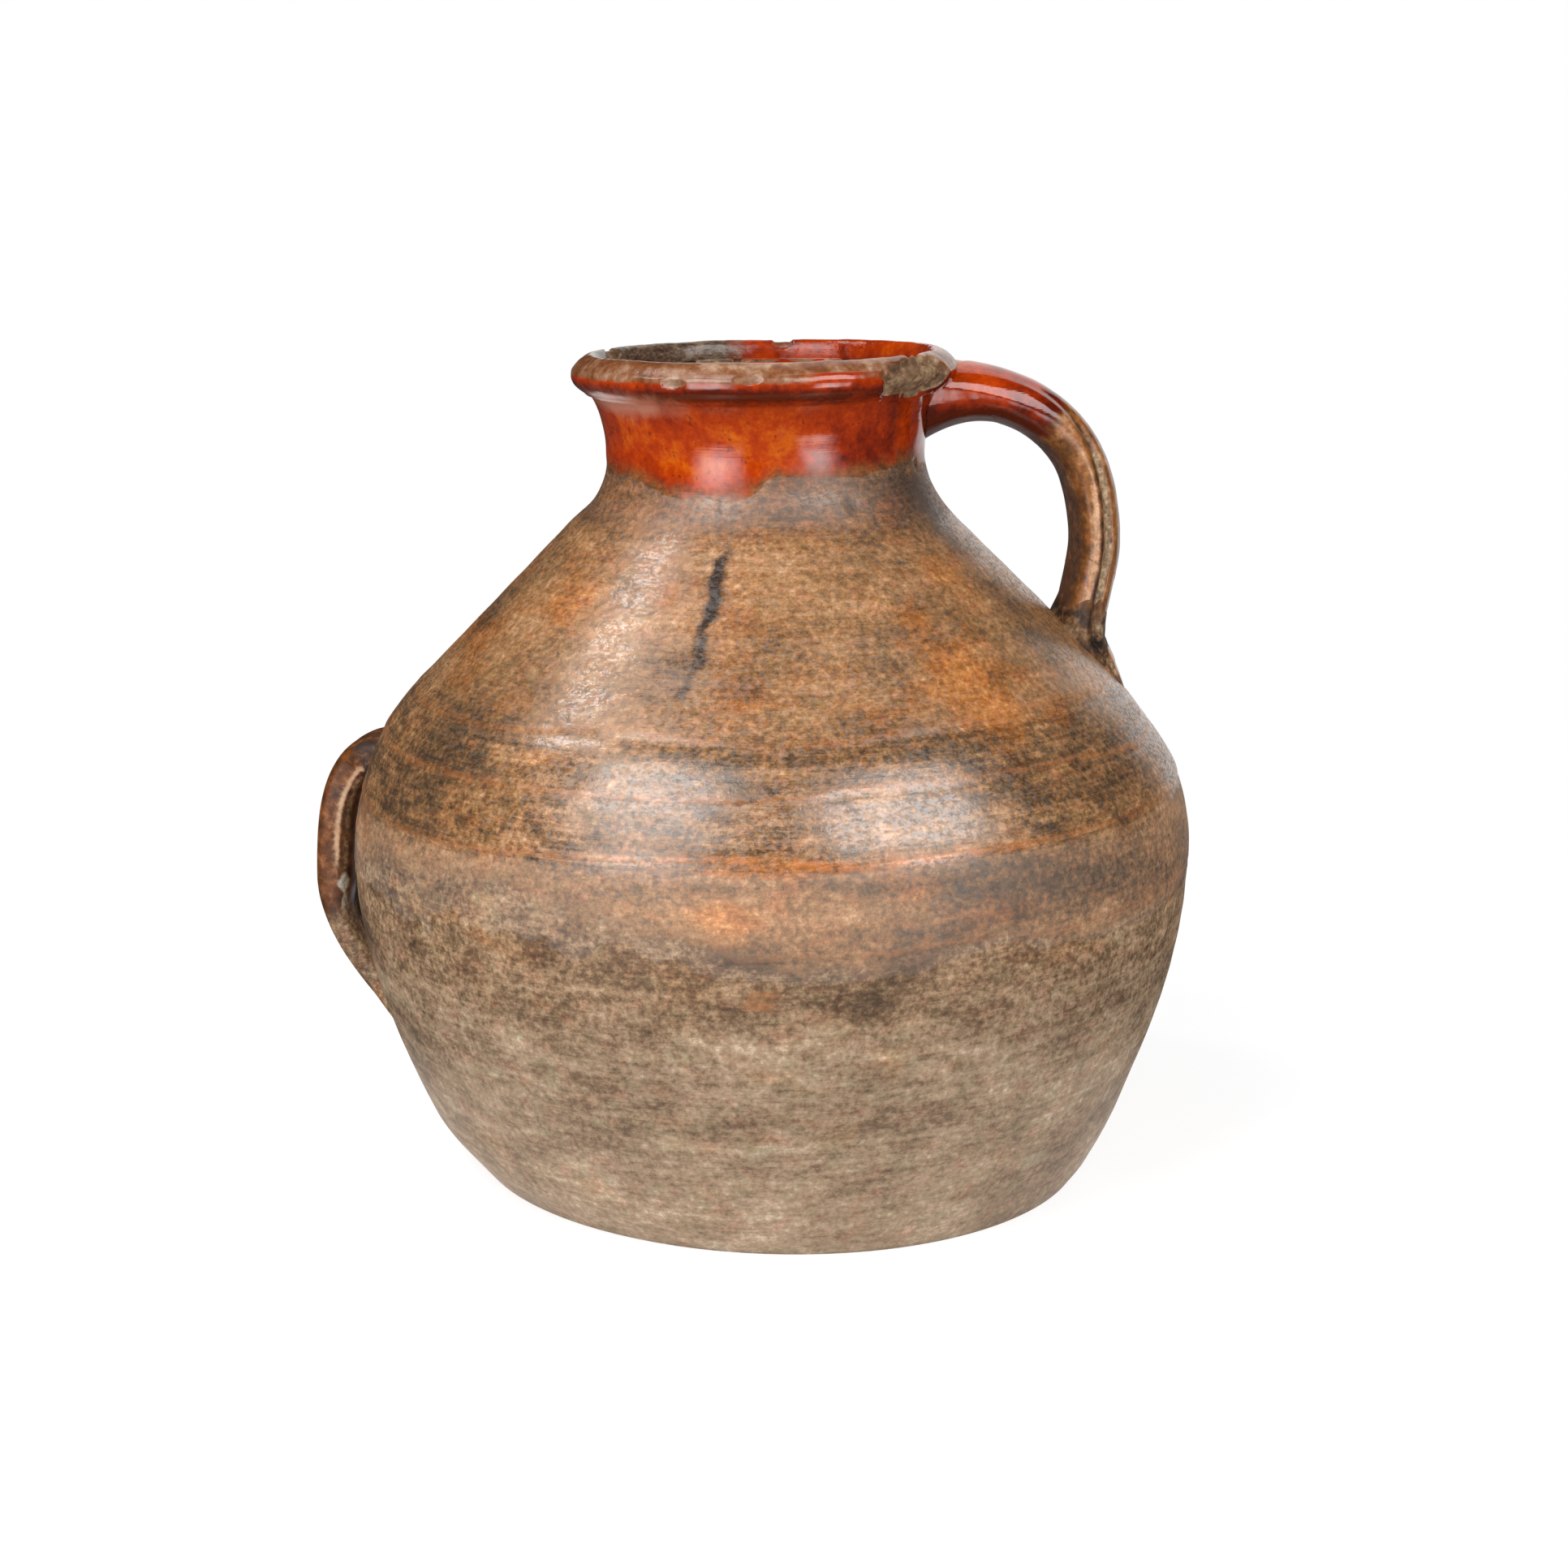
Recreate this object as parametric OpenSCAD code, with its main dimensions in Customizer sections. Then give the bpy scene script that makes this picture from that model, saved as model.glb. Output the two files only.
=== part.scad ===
// A hand-thrown earthenware storage jug. The round body is thrown in one piece, from the
// floor to the thick rolled lip. A pulled strap handle springs from the rim and lands on
// the shoulder, along +X. A smaller strap low on the other side is for tipping the jug.
// Soft clay is pressed round both ends of each strap. A dark slip covers the upper half,
// a red glaze the neck and the top of the handle, and a clear one lines the inside.
// The jug stands on z = 0, with the origin at the middle of its base. Sizes are in mm.

/* [Body] */
// Height of the lip above the ground
jug_h = 260; // [235:1:290]
// Radius of the flat base
base_r = 100; // [88:0.5:108]
// Slope of the trimmed edge round the base, from upright
foot_bevel = 41; // [35:1:55]
// Radius of the flank, carried down to the ground
flank_r = 101.5; // [96:0.5:110]
// Slope of the flank where it leaves the ground, from upright
flank_slope = 30; // [15:1:35]
// Length of the straight part of the flank
flank_rise = 25; // [15:1:45]
// Radius of the belly
belly_r = 134; // [122:1:146]
// Height of the widest part of the belly
belly_z = 102; // [90:0.5:112]
// How far below the widest part the belly starts to round in
belly_round = 35; // [20:1:50]
// Radius of the curve from the belly to the shoulder
shoulder_curve = 76.5; // [60:0.5:85]
// Thickness of the thrown wall
wall = 8; // [5:0.5:10]
// Thickness of the floor
floor_t = 12; // [9:0.5:18]
// Radius of the hollow curve between the inside floor and the wall
floor_curve = 14; // [8:1:24]
// How far the thrown axis leans from upright, towards -X
lean = 1.95; // [0:0.05:3]
// How far the middle of the trimmed base lies from the thrown axis
base_off = 1.5; // [0:0.5:3]

/* [Throwing ridges] */
// How far each ridge stands out of the wall
ridge_rise = 0.6; // [0.3:0.1:1.2]
// Height of each ridge, along the wall
ridge_w = 2.4; // [1.5:0.1:4]
// Height of the ridge just under the widest part
ridge_1_z = 100; // [95:0.5:104]
// Height of the ridge above the widest part
ridge_2_z = 127; // [118:0.5:132]
// Height of the ridge at the foot of the shoulder
ridge_3_z = 144.5; // [138:0.5:149]
// Height of the ridge on the shoulder
ridge_4_z = 157; // [154:0.5:162]

/* [Neck and lip] */
// Radius of the narrowest part of the neck
neck_r = 49.8; // [42:0.2:58]
// How far the narrowest part lies below the top of the lip
neck_drop = 31; // [27:1:40]
// Radius of the hollow curve from the shoulder to the neck
neck_curve = 26; // [16:1:34]
// Thickness of the wall at the neck
neck_wall = 6.6; // [4:0.2:8]
// Radius of the neck at the step under the lip
step_r = 54.8; // [52:0.2:58]
// How far the step stands out
step_out = 0.7; // [0.3:0.1:1.5]
// Radius of the lip at its widest
lip_r = 60.2; // [56:0.2:70]
// How far the widest part of the lip lies below its top
lip_drop = 5.8; // [3.5:0.1:7]
// Thickness of the rolled lip, from its widest part to the mouth
lip_t = 9; // [7:0.2:11]
// Height of the plain band between the lip and the step under it
band_h = 6.2; // [5:0.2:9]

/* [Strap handle] */
// Direction of the handle, turned from +X towards +Y
handle_turn = 4; // [-10:1:20]
// How far the middle of the strap leaves the neck below the top of the lip
handle_drop = 12.2; // [11:0.1:16]
// How far the strap at its furthest stands out beyond the place where it lands
handle_out = 3.3; // [1:0.1:12]
// How far the furthest point of the strap lies below the top of the lip
handle_bow = 62; // [50:1:75]
// How far below the top of the lip the strap lands on the shoulder
handle_fall = 93.5; // [88:0.5:100]
// How far its smeared end runs on down the shoulder
handle_tail = 17; // [10:1:24]
// How far the strap runs straight out of the neck before it bends over
root_run = 36; // [30:1:42]
// Thickness of the strap at its middle
strap_t = 15.6; // [10:0.2:18]
// Width of the strap at its middle
strap_w = 28; // [20:0.5:36]
// Extra thickness of the strap where it leaves the rim
root_t_extra = 1.6; // [0:0.2:4]
// How much thinner it is where it lands on the shoulder
foot_t_less = 1.2; // [0:0.2:3]
// Extra width of the strap at its two ends
end_w_extra = 5; // [0:0.5:9]
// Depth of the two grooves that the thumb left along the outside
groove_d = 1.5; // [0.6:0.1:2.2]
// Distance between the grooves
groove_apart = 17; // [12:0.5:19]

/* [Tipping handle] */
// Direction of the tipping handle, turned from -X towards +Y
lug_turn = 9.5; // [0:0.5:20]
// Height at which it leaves the belly
lug_top_z = 131; // [118:1:135]
// Height of its furthest point
lug_bow_z = 88; // [80:1:96]
// Height at which its lower end meets the flank
lug_low_z = 40; // [34:1:52]
// Room for a finger between the belly and the strap
lug_gap = 9.5; // [8:0.5:20]
// Thickness of its strap
lug_t = 9.5; // [8:0.5:15]
// Width of its strap
lug_w = 26; // [18:0.5:32]

/* [Joint clay] */
// How far the clay pressed round a joint stands out beside the strap
clay_side = 4; // [1.5:0.5:6]
// How far the clay under a strap fills the corner between it and the wall
clay_under = 12; // [4:0.5:14]
// How far the clay on the outer face of a strap stands out
clay_top = 0.6; // [0.3:0.1:2]

/* [Coats] */
// Thickness of the glaze on the neck, the handle and the inside
glaze_t = 0.5; // [0.3:0.1:0.8]
// Thickness of the dark slip
slip_t = 0.4; // [0.3:0.1:0.8]
// How far the neck glaze runs down below the top of the lip
glaze_drop = 38; // [36:0.5:46]
// Height of the lower edge of the slip
slip_low_z = 106; // [104.5:0.5:115]
// Part of the strap handle's length that is glazed
glazed_part = 0.5; // [0.4:0.02:0.7]

/* [Hidden] */

arc_steps = 14;      // straight pieces in each curve of the profile
half_steps = 7;      // and in each short curve of the lip and the floor
turn_sides = 96;     // sides drawn for a full turn
ring_points = 32;    // points round a strap
ring_steps = 16;     // rings in the long upper curve of the strap handle
ground_sink = 8;     // how far the thrown shape runs on below the ground before the base is cut
thin_edge = 0.4;     // thickness at which pressed clay ends
neck_z = jug_h - neck_drop;
lip_z = jug_h - lip_drop;
step_z = lip_z - band_h;
glaze_low_z = jug_h - glaze_drop;

// Points on curves
function cubic(a, b, c, d, n) = [for (i = [0:n]) let (t = i / n, s = 1 - t)
    s * s * s * a + 3 * s * s * t * b + 3 * s * t * t * c + t * t * t * d];
function arc(mid, r, from, to, n) = [for (i = [0:n]) let (a = from + (to - from) * i / n)
    mid + r * [cos(a), sin(a)]];
function mixed(a, b, t) = a + (b - a) * t;
function unit(v) = v / norm(v);
function left_of(v) = [-v[1], v[0]];
function along(line, i) = unit(line[min(i + 1, len(line) - 1)] - line[max(i - 1, 0)]);
function after_first(v) = [for (i = [1:len(v) - 1]) v[i]];
function backwards(v) = [for (i = [len(v) - 1:-1:0]) v[i]];
function moved_out(line, d) = [for (i = [0:len(line) - 1]) line[i] - d * left_of(along(line, i))];

// Lines are written as points of radius and height, from the ground up.
// The flank rises straight from the ground and rounds in to the belly.
flank = cubic([flank_r, 0], [flank_r + flank_rise * tan(flank_slope), flank_rise],
    [belly_r, belly_z - belly_round], [belly_r, belly_z], arc_steps);

// Shoulder: the belly's curve and the neck's hollow curve, joined by their common tangent
belly_mid = [belly_r - shoulder_curve, belly_z];
neck_mid = [neck_r + neck_curve, neck_z];
mids = neck_mid - belly_mid;
tangent_a = atan2(mids[1], mids[0]) - acos((shoulder_curve + neck_curve) / norm(mids));
shoulder = concat(arc(belly_mid, shoulder_curve, 0, tangent_a, arc_steps),
    arc(neck_mid, neck_curve, 180 + tangent_a, 180, arc_steps));

// The neck stays narrow for part of its height and then opens to the step
neck_stays = 0.45;      // share of the neck's height
neck_opens = [2.4, 3];  // where it starts to open, in and down from the step
neck = cubic([neck_r, neck_z], [neck_r, mixed(neck_z, step_z, neck_stays)],
    [step_r, step_z] - neck_opens, [step_r, step_z], arc_steps);

// Plain outline up to the step
below_ground = [flank_r - ground_sink * tan(flank_slope), -ground_sink];
outline = concat([below_ground], flank, after_first(shoulder), after_first(neck));
heights = [for (p = outline) [p[1], p[0]]];
function r_at(z) = lookup(z, heights);

// The same outline with the throwing ridges on it
ridges = [ridge_1_z, ridge_2_z, ridge_3_z, ridge_4_z];
function ridge_at(z) = max([for (h = ridges) max(0, 1 - abs(z - h) * 2 / ridge_w)]) * ridge_rise;
ridge_points = [for (h = ridges, k = [-1:0.5:1]) h + k * ridge_w / 2];
function sorted(v) = len(v) < 2 ? v : let (p = v[0])
    concat(sorted([for (x = v) if (x < p) x]), [p], sorted([for (x = v) if (x > p) x]));
wall_z = sorted(concat([for (p = outline) p[1]], ridge_points));
ridged = [for (z = wall_z) [r_at(z) + ridge_at(z), z]];

// Lip: a plain hollow band over the step, then the rolled edge, outside and inside
roll_out = 0.4;        // how square the roll is outside, from 0 to 1
roll_in = 0.55;        // and inside
crest_share = 0.68;    // where the crest lies across the thickness of the lip
mouth_drop = 0.6;      // how far the narrow edge of the mouth lies below the lip's widest part
band_foot = [3, 1.6];  // how the band leaves the step, out and up
band_head = 3;         // how far below the lip's widest part it turns upright
crest = [lip_r - lip_t * crest_share, jug_h];
mouth = [lip_r - lip_t, lip_z - mouth_drop];
lip_outside = cubic([lip_r, lip_z], [lip_r, mixed(lip_z, jug_h, roll_out)],
    [mixed(crest[0], lip_r, roll_out), jug_h], crest, half_steps);
lip_inside = cubic(crest, [mixed(crest[0], mouth[0], roll_in), jug_h],
    [mouth[0], mixed(mouth[1], jug_h, roll_in)], mouth, half_steps);
band = cubic([step_r + step_out, step_z + step_out / 2], [step_r, step_z] + band_foot,
    [lip_r, lip_z - band_head], [lip_r, lip_z], half_steps);
rim_outside = concat([[step_r + step_out, step_z]], band, after_first(lip_outside));

// Inside: the throat, then the outline moved in by the wall, then the floor
throat_r = neck_r - neck_wall;
throat_opens = 1.2;    // how much the throat narrows just under the mouth
throat = cubic(mouth, [mouth[0] - throat_opens, mixed(mouth[1], neck_z, 0.3)],
    [throat_r, mixed(neck_z, mouth[1], 0.4)], [throat_r, neck_z], half_steps);
function wall_at(z) = mixed(wall, neck_wall, max(0, (z - belly_z) / (neck_z - belly_z)));
floor_end_z = floor_t + floor_curve;
floor_r = r_at(floor_end_z) - wall;
inside_floor = cubic([0, floor_t], [floor_r - 2 * floor_curve, floor_t],
    [floor_r - floor_curve * 0.6, floor_t], [floor_r, floor_end_z], half_steps);
inside_wall = [for (i = [0:len(outline) - 1]) let (p = outline[i])
    if (p[1] > floor_end_z && p[1] < neck_z) p + wall_at(p[1]) * left_of(along(outline, i))];
inside = concat(inside_floor, [for (p = inside_wall) if (p[1] > floor_end_z + 1) p],
    backwards(throat));

// Leans what is thrown or set on the wall, and turns a strap to its direction
module thrown() {
    translate([-base_off, 0, 0]) rotate([0, -lean, 0]) children();
}
module towards(turn) {
    thrown() rotate([0, 0, turn]) children();
}

// Everything that stands on the ground is cut flat there, with the base's edge trimmed
module on_the_ground() {
    top = jug_h + 2 * ground_sink;
    intersection() {
        children();
        cylinder(h = top, r1 = base_r, r2 = base_r + top * tan(foot_bevel), $fn = turn_sides);
    }
}

// The coats, as the line that each lies on
clear_of_end = 0.2;    // a coat's line has no point closer than this to its own end
function part_of(line, low, top) = concat([[r_at(low), low]],
    [for (p = line) if (p[1] > low + clear_of_end && p[1] < top - clear_of_end) p]);
slip_line = concat(part_of(ridged, slip_low_z, glaze_low_z), [[r_at(glaze_low_z), glaze_low_z]]);
glaze_line = concat(part_of(ridged, glaze_low_z, step_z),
    [for (p = rim_outside) if (p[1] <= lip_z) p]);
slip_face = moved_out(slip_line, slip_t);
glaze_face = moved_out(glaze_line, glaze_t);

// The jug as a solid with its coats on, for trimming what is set on it
module coated_solid() {
    thrown() rotate_extrude($fn = turn_sides) polygon(concat([[0, -ground_sink]],
        [for (p = ridged) if (p[1] < slip_low_z) p], slip_face, glaze_face,
        lip_outside, [[0, jug_h]]));
}

module body() {
    color("#8f6a4a") on_the_ground() thrown() rotate_extrude($fn = turn_sides)
        polygon(concat([[0, -ground_sink]], ridged, rim_outside,
            after_first(lip_inside), after_first(backwards(inside))));
}

// A coat fills the space between two lines
module coat(under, face) {
    thrown() rotate_extrude($fn = turn_sides) polygon(concat(under, backwards(face)));
}

module inside_glaze() {
    lining = backwards(inside);
    face = moved_out(lining, glaze_t);
    foot = [0, floor_t + glaze_t];
    color("#a8501e") coat(lining, concat([for (p = face) if (p[0] > glaze_t) p], [foot]));
}

module slip_coat() {
    color("#7d5836") coat(slip_line, slip_face);
}

module neck_glaze() {
    color("#b8430f") coat(glaze_line, glaze_face);
}

// A skin over a row of rings that all have the same number of points
module skin(rings) {
    n = len(rings[0]);
    m = len(rings);
    sides = [for (i = [0:m - 2], j = [0:n - 1]) let (k = (j + 1) % n)
        each [[i * n + j, i * n + k, (i + 1) * n + k],
              [i * n + j, (i + 1) * n + k, (i + 1) * n + j]]];
    polyhedron([for (r = rings) each r],
        concat([[for (j = [n - 1:-1:0]) j]], sides, [[for (j = [0:n - 1]) (m - 1) * n + j]]));
}

// A sleeve between two such rows, open at neither end
module sleeve(outer, inner) {
    n = len(outer[0]);
    m = len(outer);
    a = m * n;
    e = (m - 1) * n;
    sides = [for (i = [0:m - 2], j = [0:n - 1]) let (k = (j + 1) % n, p = i * n, q = p + n)
        each [[p + j, p + k, q + k], [p + j, q + k, q + j],
              [a + p + k, a + p + j, a + q + k], [a + q + k, a + p + j, a + q + j]]];
    ends = [for (j = [0:n - 1]) let (k = (j + 1) % n)
        each [[k, j, a + j], [k, a + j, a + k],
              [e + j, e + k, a + e + k], [e + j, a + e + k, a + e + j]]];
    polyhedron([for (r = concat(outer, inner)) each r], concat(sides, ends));
}

// Section of a pulled strap: domed outside with two thumb grooves, flatter inside.
// out and back are its thickness on the two sides of its middle, half_w half its width.
groove_w = 2.2;        // half the width of a groove
dome = 1.4;            // how domed the outer face is, 1 being a plain round
flat = 0.7;            // and the inner face
out_share = 0.52;      // share of the thickness on the outer side of the middle
function strap_point(a, half_w, out, back, groove) = let (c = cos(a), v = half_w * sin(a),
    near = (abs(v) - groove_apart / 2) / groove_w)
    [c > 0 ? out * pow(c, dome) - groove * exp(-near * near) : -back * pow(-c, flat), v];
function strap_ring(p, dir, half_w, out, back, groove) = [for (j = [0:ring_points - 1])
    let (q = strap_point(-360 * j / ring_points, half_w, out, back, groove),
        s = p + q[0] * left_of(dir)) [s[0], q[1], s[1]]];

// Strap handle: out from the rim, over, down to the shoulder, and smeared out on it
bow_z = jug_h - handle_bow;
root_z = jug_h - handle_drop;
land_z = jug_h - handle_fall;
root_sink = 2;         // how far inside the neck's narrowest radius the strap starts
bow_rise = 33;         // how far above its furthest point the strap starts to bend over
bow_fall = 10;         // how far below it the strap stays upright
foot_turn = [1.4, 9];  // how it turns in to the shoulder, in and up from where it lands
handle_reach = r_at(land_z) + handle_out;
fall_rings = 10;
tail_rings = 8;
handle_line = concat(
    cubic([neck_r - root_sink, root_z], [neck_r + root_run, root_z],
        [handle_reach, bow_z + bow_rise], [handle_reach, bow_z], ring_steps),
    after_first(cubic([handle_reach, bow_z], [handle_reach, bow_z - bow_fall],
        [r_at(land_z) - foot_turn[0], land_z + foot_turn[1]], [r_at(land_z), land_z],
        fall_rings)),
    [for (i = [1:tail_rings]) let (z = land_z - handle_tail * i / tail_rings) [r_at(z), z]]);
handle_last = len(handle_line) - 1;
tail_start = handle_last - tail_rings;
root_rings = 12;       // rings over which the strap thins away from the rim
foot_rings = 9;        // rings over which it widens towards the shoulder
tail_end_w = 0.5;      // share of the width left at the very end of the tail
tail_end_t = 0.06;     // and of the thickness
function near_root(i) = pow(max(0, 1 - i / root_rings), 2);
function near_foot(i) = min(1, pow(max(0, 1 - (tail_start - i) / foot_rings), 2));
function left_in_tail(i) = 1 - max(0, i - tail_start) / tail_rings;
function handle_half_w(i) = (strap_w + (near_root(i) + near_foot(i)) * end_w_extra) / 2
    * sqrt(mixed(tail_end_w * tail_end_w, 1, left_in_tail(i)));
function handle_t(i) = (strap_t + near_root(i) * root_t_extra - near_foot(i) * foot_t_less)
    * mixed(tail_end_t, 1, left_in_tail(i));
function handle_ring(i, side, out, back) = strap_ring(handle_line[i], along(handle_line, i),
    handle_half_w(i) + side, handle_t(i) * out_share + out, handle_t(i) * (1 - out_share) + back,
    groove_d * (1 - near_root(i)) * left_in_tail(i));

// Clay pressed round the strap, from one ring to another, as thick as grown says
module handle_clay(from, to, grown) {
    outer = [for (i = [from:to]) let (g = grown[i - from]) handle_ring(i,
        mixed(thin_edge, clay_side, g), mixed(thin_edge, clay_top, g),
        mixed(thin_edge, clay_under, g))];
    inner = [for (i = [from:to]) handle_ring(i, 0, 0, 0)];
    towards(handle_turn) sleeve(outer, inner);
}

module strap_handle() {
    color("#9a4a1c") difference() {
        towards(handle_turn) skin([for (i = [0:handle_last]) handle_ring(i, 0, 0, 0)]);
        coated_solid();
    }
}

root_clay_rings = 7;   // rings of the strap that the clay at its root covers
root_clay_thins = 3; // how fast that clay thins along the strap
module handle_root_clay() {
    n = root_clay_rings;
    color("#7c6a52") difference() {
        handle_clay(0, n, [for (i = [0:n]) pow(1 - i / n, root_clay_thins)]);
        coated_solid();
    }
}

module handle_glaze() {
    last = round(tail_start * glazed_part);
    outer = [for (i = [root_clay_rings:last]) handle_ring(i, glaze_t, glaze_t, glaze_t)];
    inner = [for (i = [root_clay_rings:last]) handle_ring(i, 0, 0, 0)];
    color("#a8380c") difference() {
        towards(handle_turn) sleeve(outer, inner);
        coated_solid();
    }
}

foot_clay_above = 4;   // rings of the strap that the clay at its foot covers above the landing
foot_clay_rings = 9;   // and in all
foot_clay_under = 0.5; // share of the clay's thickness that is left in the corner here
module handle_foot_clay() {
    n = foot_clay_rings;
    from = tail_start - foot_clay_above;
    grown = [for (i = [0:n]) pow(sin(180 * i / n), 2)];
    color("#77705c") difference() {
        handle_clay(from, from + n, grown * foot_clay_under);
        coated_solid();
    }
}

// Tipping handle: a short upright loop on the belly, smeared out on the flank below
lug_bow_r = belly_r + lug_gap + lug_t / 2;
lug_sink = [10, 3];      // where it starts, in and down from the belly's surface
lug_shoulder = [11, 9]; // how it springs out of the belly, out and up
lug_bend = [1, 10];      // where it turns down, in from its furthest radius and below its top
lug_upright = 16;        // how far below its furthest point it stays upright
lug_foot_turn = [15.5, 15]; // how it turns in to the flank, out and up from its lower end
lug_foot_sink = 1.5;       // how far its lower end runs into the wall
lug_top = [r_at(lug_top_z), lug_top_z];
lug_bow = [lug_bow_r, lug_bow_z];
lug_low = [r_at(lug_low_z), lug_low_z];
lug_up_rings = 10;
lug_down_rings = 14;
lug_line = concat(
    cubic(lug_top - lug_sink, lug_top + lug_shoulder, [lug_bow_r, lug_top_z] - lug_bend,
        lug_bow, lug_up_rings),
    after_first(cubic(lug_bow, lug_bow - [0, lug_upright], lug_low + lug_foot_turn,
        lug_low - [lug_foot_sink, lug_foot_sink], lug_down_rings)));
lug_last = len(lug_line) - 1;
function lug_half_w(i) = (lug_w + pow(abs(2 * i / lug_last - 1), 3) * end_w_extra) / 2;
function lug_ring(i, side, out, back) = strap_ring(lug_line[i], along(lug_line, i),
    lug_half_w(i) + side, lug_t * out_share + out, lug_t * (1 - out_share) + back, 0);

module lug_clay(from, to, grown) {
    outer = [for (i = [from:to]) let (g = grown[i - from]) lug_ring(i,
        mixed(thin_edge, clay_side, g), mixed(thin_edge, clay_top, g),
        mixed(thin_edge, clay_under, g))];
    inner = [for (i = [from:to]) lug_ring(i, 0, 0, 0)];
    towards(180 - lug_turn) sleeve(outer, inner);
}

module tipping_handle() {
    color("#96561f") difference() {
        towards(180 - lug_turn) skin([for (i = [0:lug_last]) lug_ring(i, 0, 0, 0)]);
        coated_solid();
    }
}

lug_clay_rings = 6;    // rings that the clay covers at each end of the tipping handle
module tipping_top_clay() {
    n = lug_clay_rings;
    color("#8d8471") difference() {
        lug_clay(0, n, [for (i = [0:n]) pow(1 - i / n, 2)]);
        coated_solid();
    }
}

module tipping_foot_clay() {
    n = lug_clay_rings;
    color("#6b4a30") difference() {
        lug_clay(lug_last - n, lug_last, [for (i = [0:n]) pow(i / n, 2)]);
        coated_solid();
    }
}

body();
inside_glaze();
slip_coat();
neck_glaze();
strap_handle();
handle_glaze();
handle_root_clay();
handle_foot_clay();
tipping_handle();
tipping_top_clay();
tipping_foot_clay();
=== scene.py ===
# %% [markdown]
# # An old storage jug
# A round-bellied jug of red earthenware, thrown by hand, with a strap handle and a smaller
# strap for tipping it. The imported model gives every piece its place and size. This lesson
# makes one finely shaped piece for each of its solids, and a finish for each surface.
# The work goes from the wheel to the kiln: the wall, its coats, the straps, the clay at
# their joints, and last the finishes, the light and the camera.

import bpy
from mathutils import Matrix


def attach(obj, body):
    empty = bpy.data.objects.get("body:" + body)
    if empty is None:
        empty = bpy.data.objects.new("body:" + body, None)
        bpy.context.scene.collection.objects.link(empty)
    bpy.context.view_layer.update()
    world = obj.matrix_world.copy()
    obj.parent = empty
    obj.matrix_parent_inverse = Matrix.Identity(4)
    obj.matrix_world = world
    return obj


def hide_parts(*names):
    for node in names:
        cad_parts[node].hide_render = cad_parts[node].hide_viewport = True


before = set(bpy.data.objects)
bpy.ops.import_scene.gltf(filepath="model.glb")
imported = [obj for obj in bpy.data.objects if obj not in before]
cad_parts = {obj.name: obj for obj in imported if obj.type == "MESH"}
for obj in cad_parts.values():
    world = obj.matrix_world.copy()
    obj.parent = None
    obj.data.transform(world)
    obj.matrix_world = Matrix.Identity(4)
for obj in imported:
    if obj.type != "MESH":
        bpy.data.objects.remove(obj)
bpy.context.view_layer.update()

# %% [markdown]
# ## The thrown shape
# A wheel makes a shape that is round about one axis, so the jug starts as one line, of
# radius and height. A modelling program could spin such a line with a Screw modifier. Here
# the points are computed as arrays instead, because each point can then be pushed in or out
# by its own small amount, and that is what makes the wall look thrown and not turned.
# The jug's axis leans a little, as it dried crooked, so all shapes are first made upright
# in mm, and `stood` then leans them and turns them into metres.

import bpy
import numpy as np
from mathutils import Matrix, Vector

LEAN = np.radians(1.95)
BASE_OFF = 1.5
TURN_COLUMNS = 640


def cubic(a, b, c, d, steps=40):
    t = np.linspace(0, 1, steps + 1)[:, None]
    s = 1 - t
    a, b, c, d = (np.array(p, float) for p in (a, b, c, d))
    return s**3 * a + 3 * s * s * t * b + 3 * s * t * t * c + t**3 * d


def arc(middle, radius, start, end, steps=40):
    a = np.linspace(start, end, steps + 1)
    return np.array(middle) + radius * np.stack([np.cos(a), np.sin(a)], -1)


def evenly(line, step):
    """The same line with its points this far apart."""
    gone = np.r_[0, np.cumsum(np.linalg.norm(np.diff(line, axis=0), axis=1))]
    at = np.linspace(0, gone[-1], int(gone[-1] / step) + 1)
    return np.stack([np.interp(at, gone, line[:, k]) for k in (0, 1)], -1)


def facing(line):
    """At each point of a line, the direction that points out of the clay."""
    way = np.gradient(line, axis=0)
    way /= np.linalg.norm(way, axis=1)[:, None]
    return np.stack([way[:, 1], -way[:, 0]], -1)


def stood(p):
    """From mm about the upright axis to metres about the leaning one."""
    x, y, z = np.moveaxis(np.asarray(p, float), -1, 0)
    across = x * np.cos(LEAN) - z * np.sin(LEAN) - BASE_OFF
    return np.stack([across, y, x * np.sin(LEAN) + z * np.cos(LEAN)], -1) / 1000


# %% The outline of the wall, from below the ground to the step under the lip
NECK_Z, STEP_Z, LIP_Z, TOP_Z = 229, 248, 254.2, 260
flank = cubic([101.5, 0], [101.5 + 25 * np.tan(np.radians(30)), 25], [134, 67], [134, 102])
belly_middle, neck_middle = np.array([57.5, 102]), np.array([75.8, NECK_Z])
between = neck_middle - belly_middle
tangent = np.arctan2(between[1], between[0]) - np.arccos(102.5 / np.linalg.norm(between))
shoulder = np.vstack([arc(belly_middle, 76.5, 0, tangent),
                      arc(neck_middle, 26, np.pi + tangent, np.pi)[1:]])
neck = cubic([49.8, NECK_Z], [49.8, 237.5], [52.4, 245], [54.8, STEP_Z])
below = np.array([[101.5 - 8 * np.tan(np.radians(30)), -8]])
wall_line = np.vstack([below, flank, shoulder[1:], neck[1:]])


def wall_r(z):
    return np.interp(z, wall_line[:, 1], wall_line[:, 0])


print("wall outline:", len(wall_line), "points, widest", round(wall_line[:, 0].max(), 1), "mm")

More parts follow.
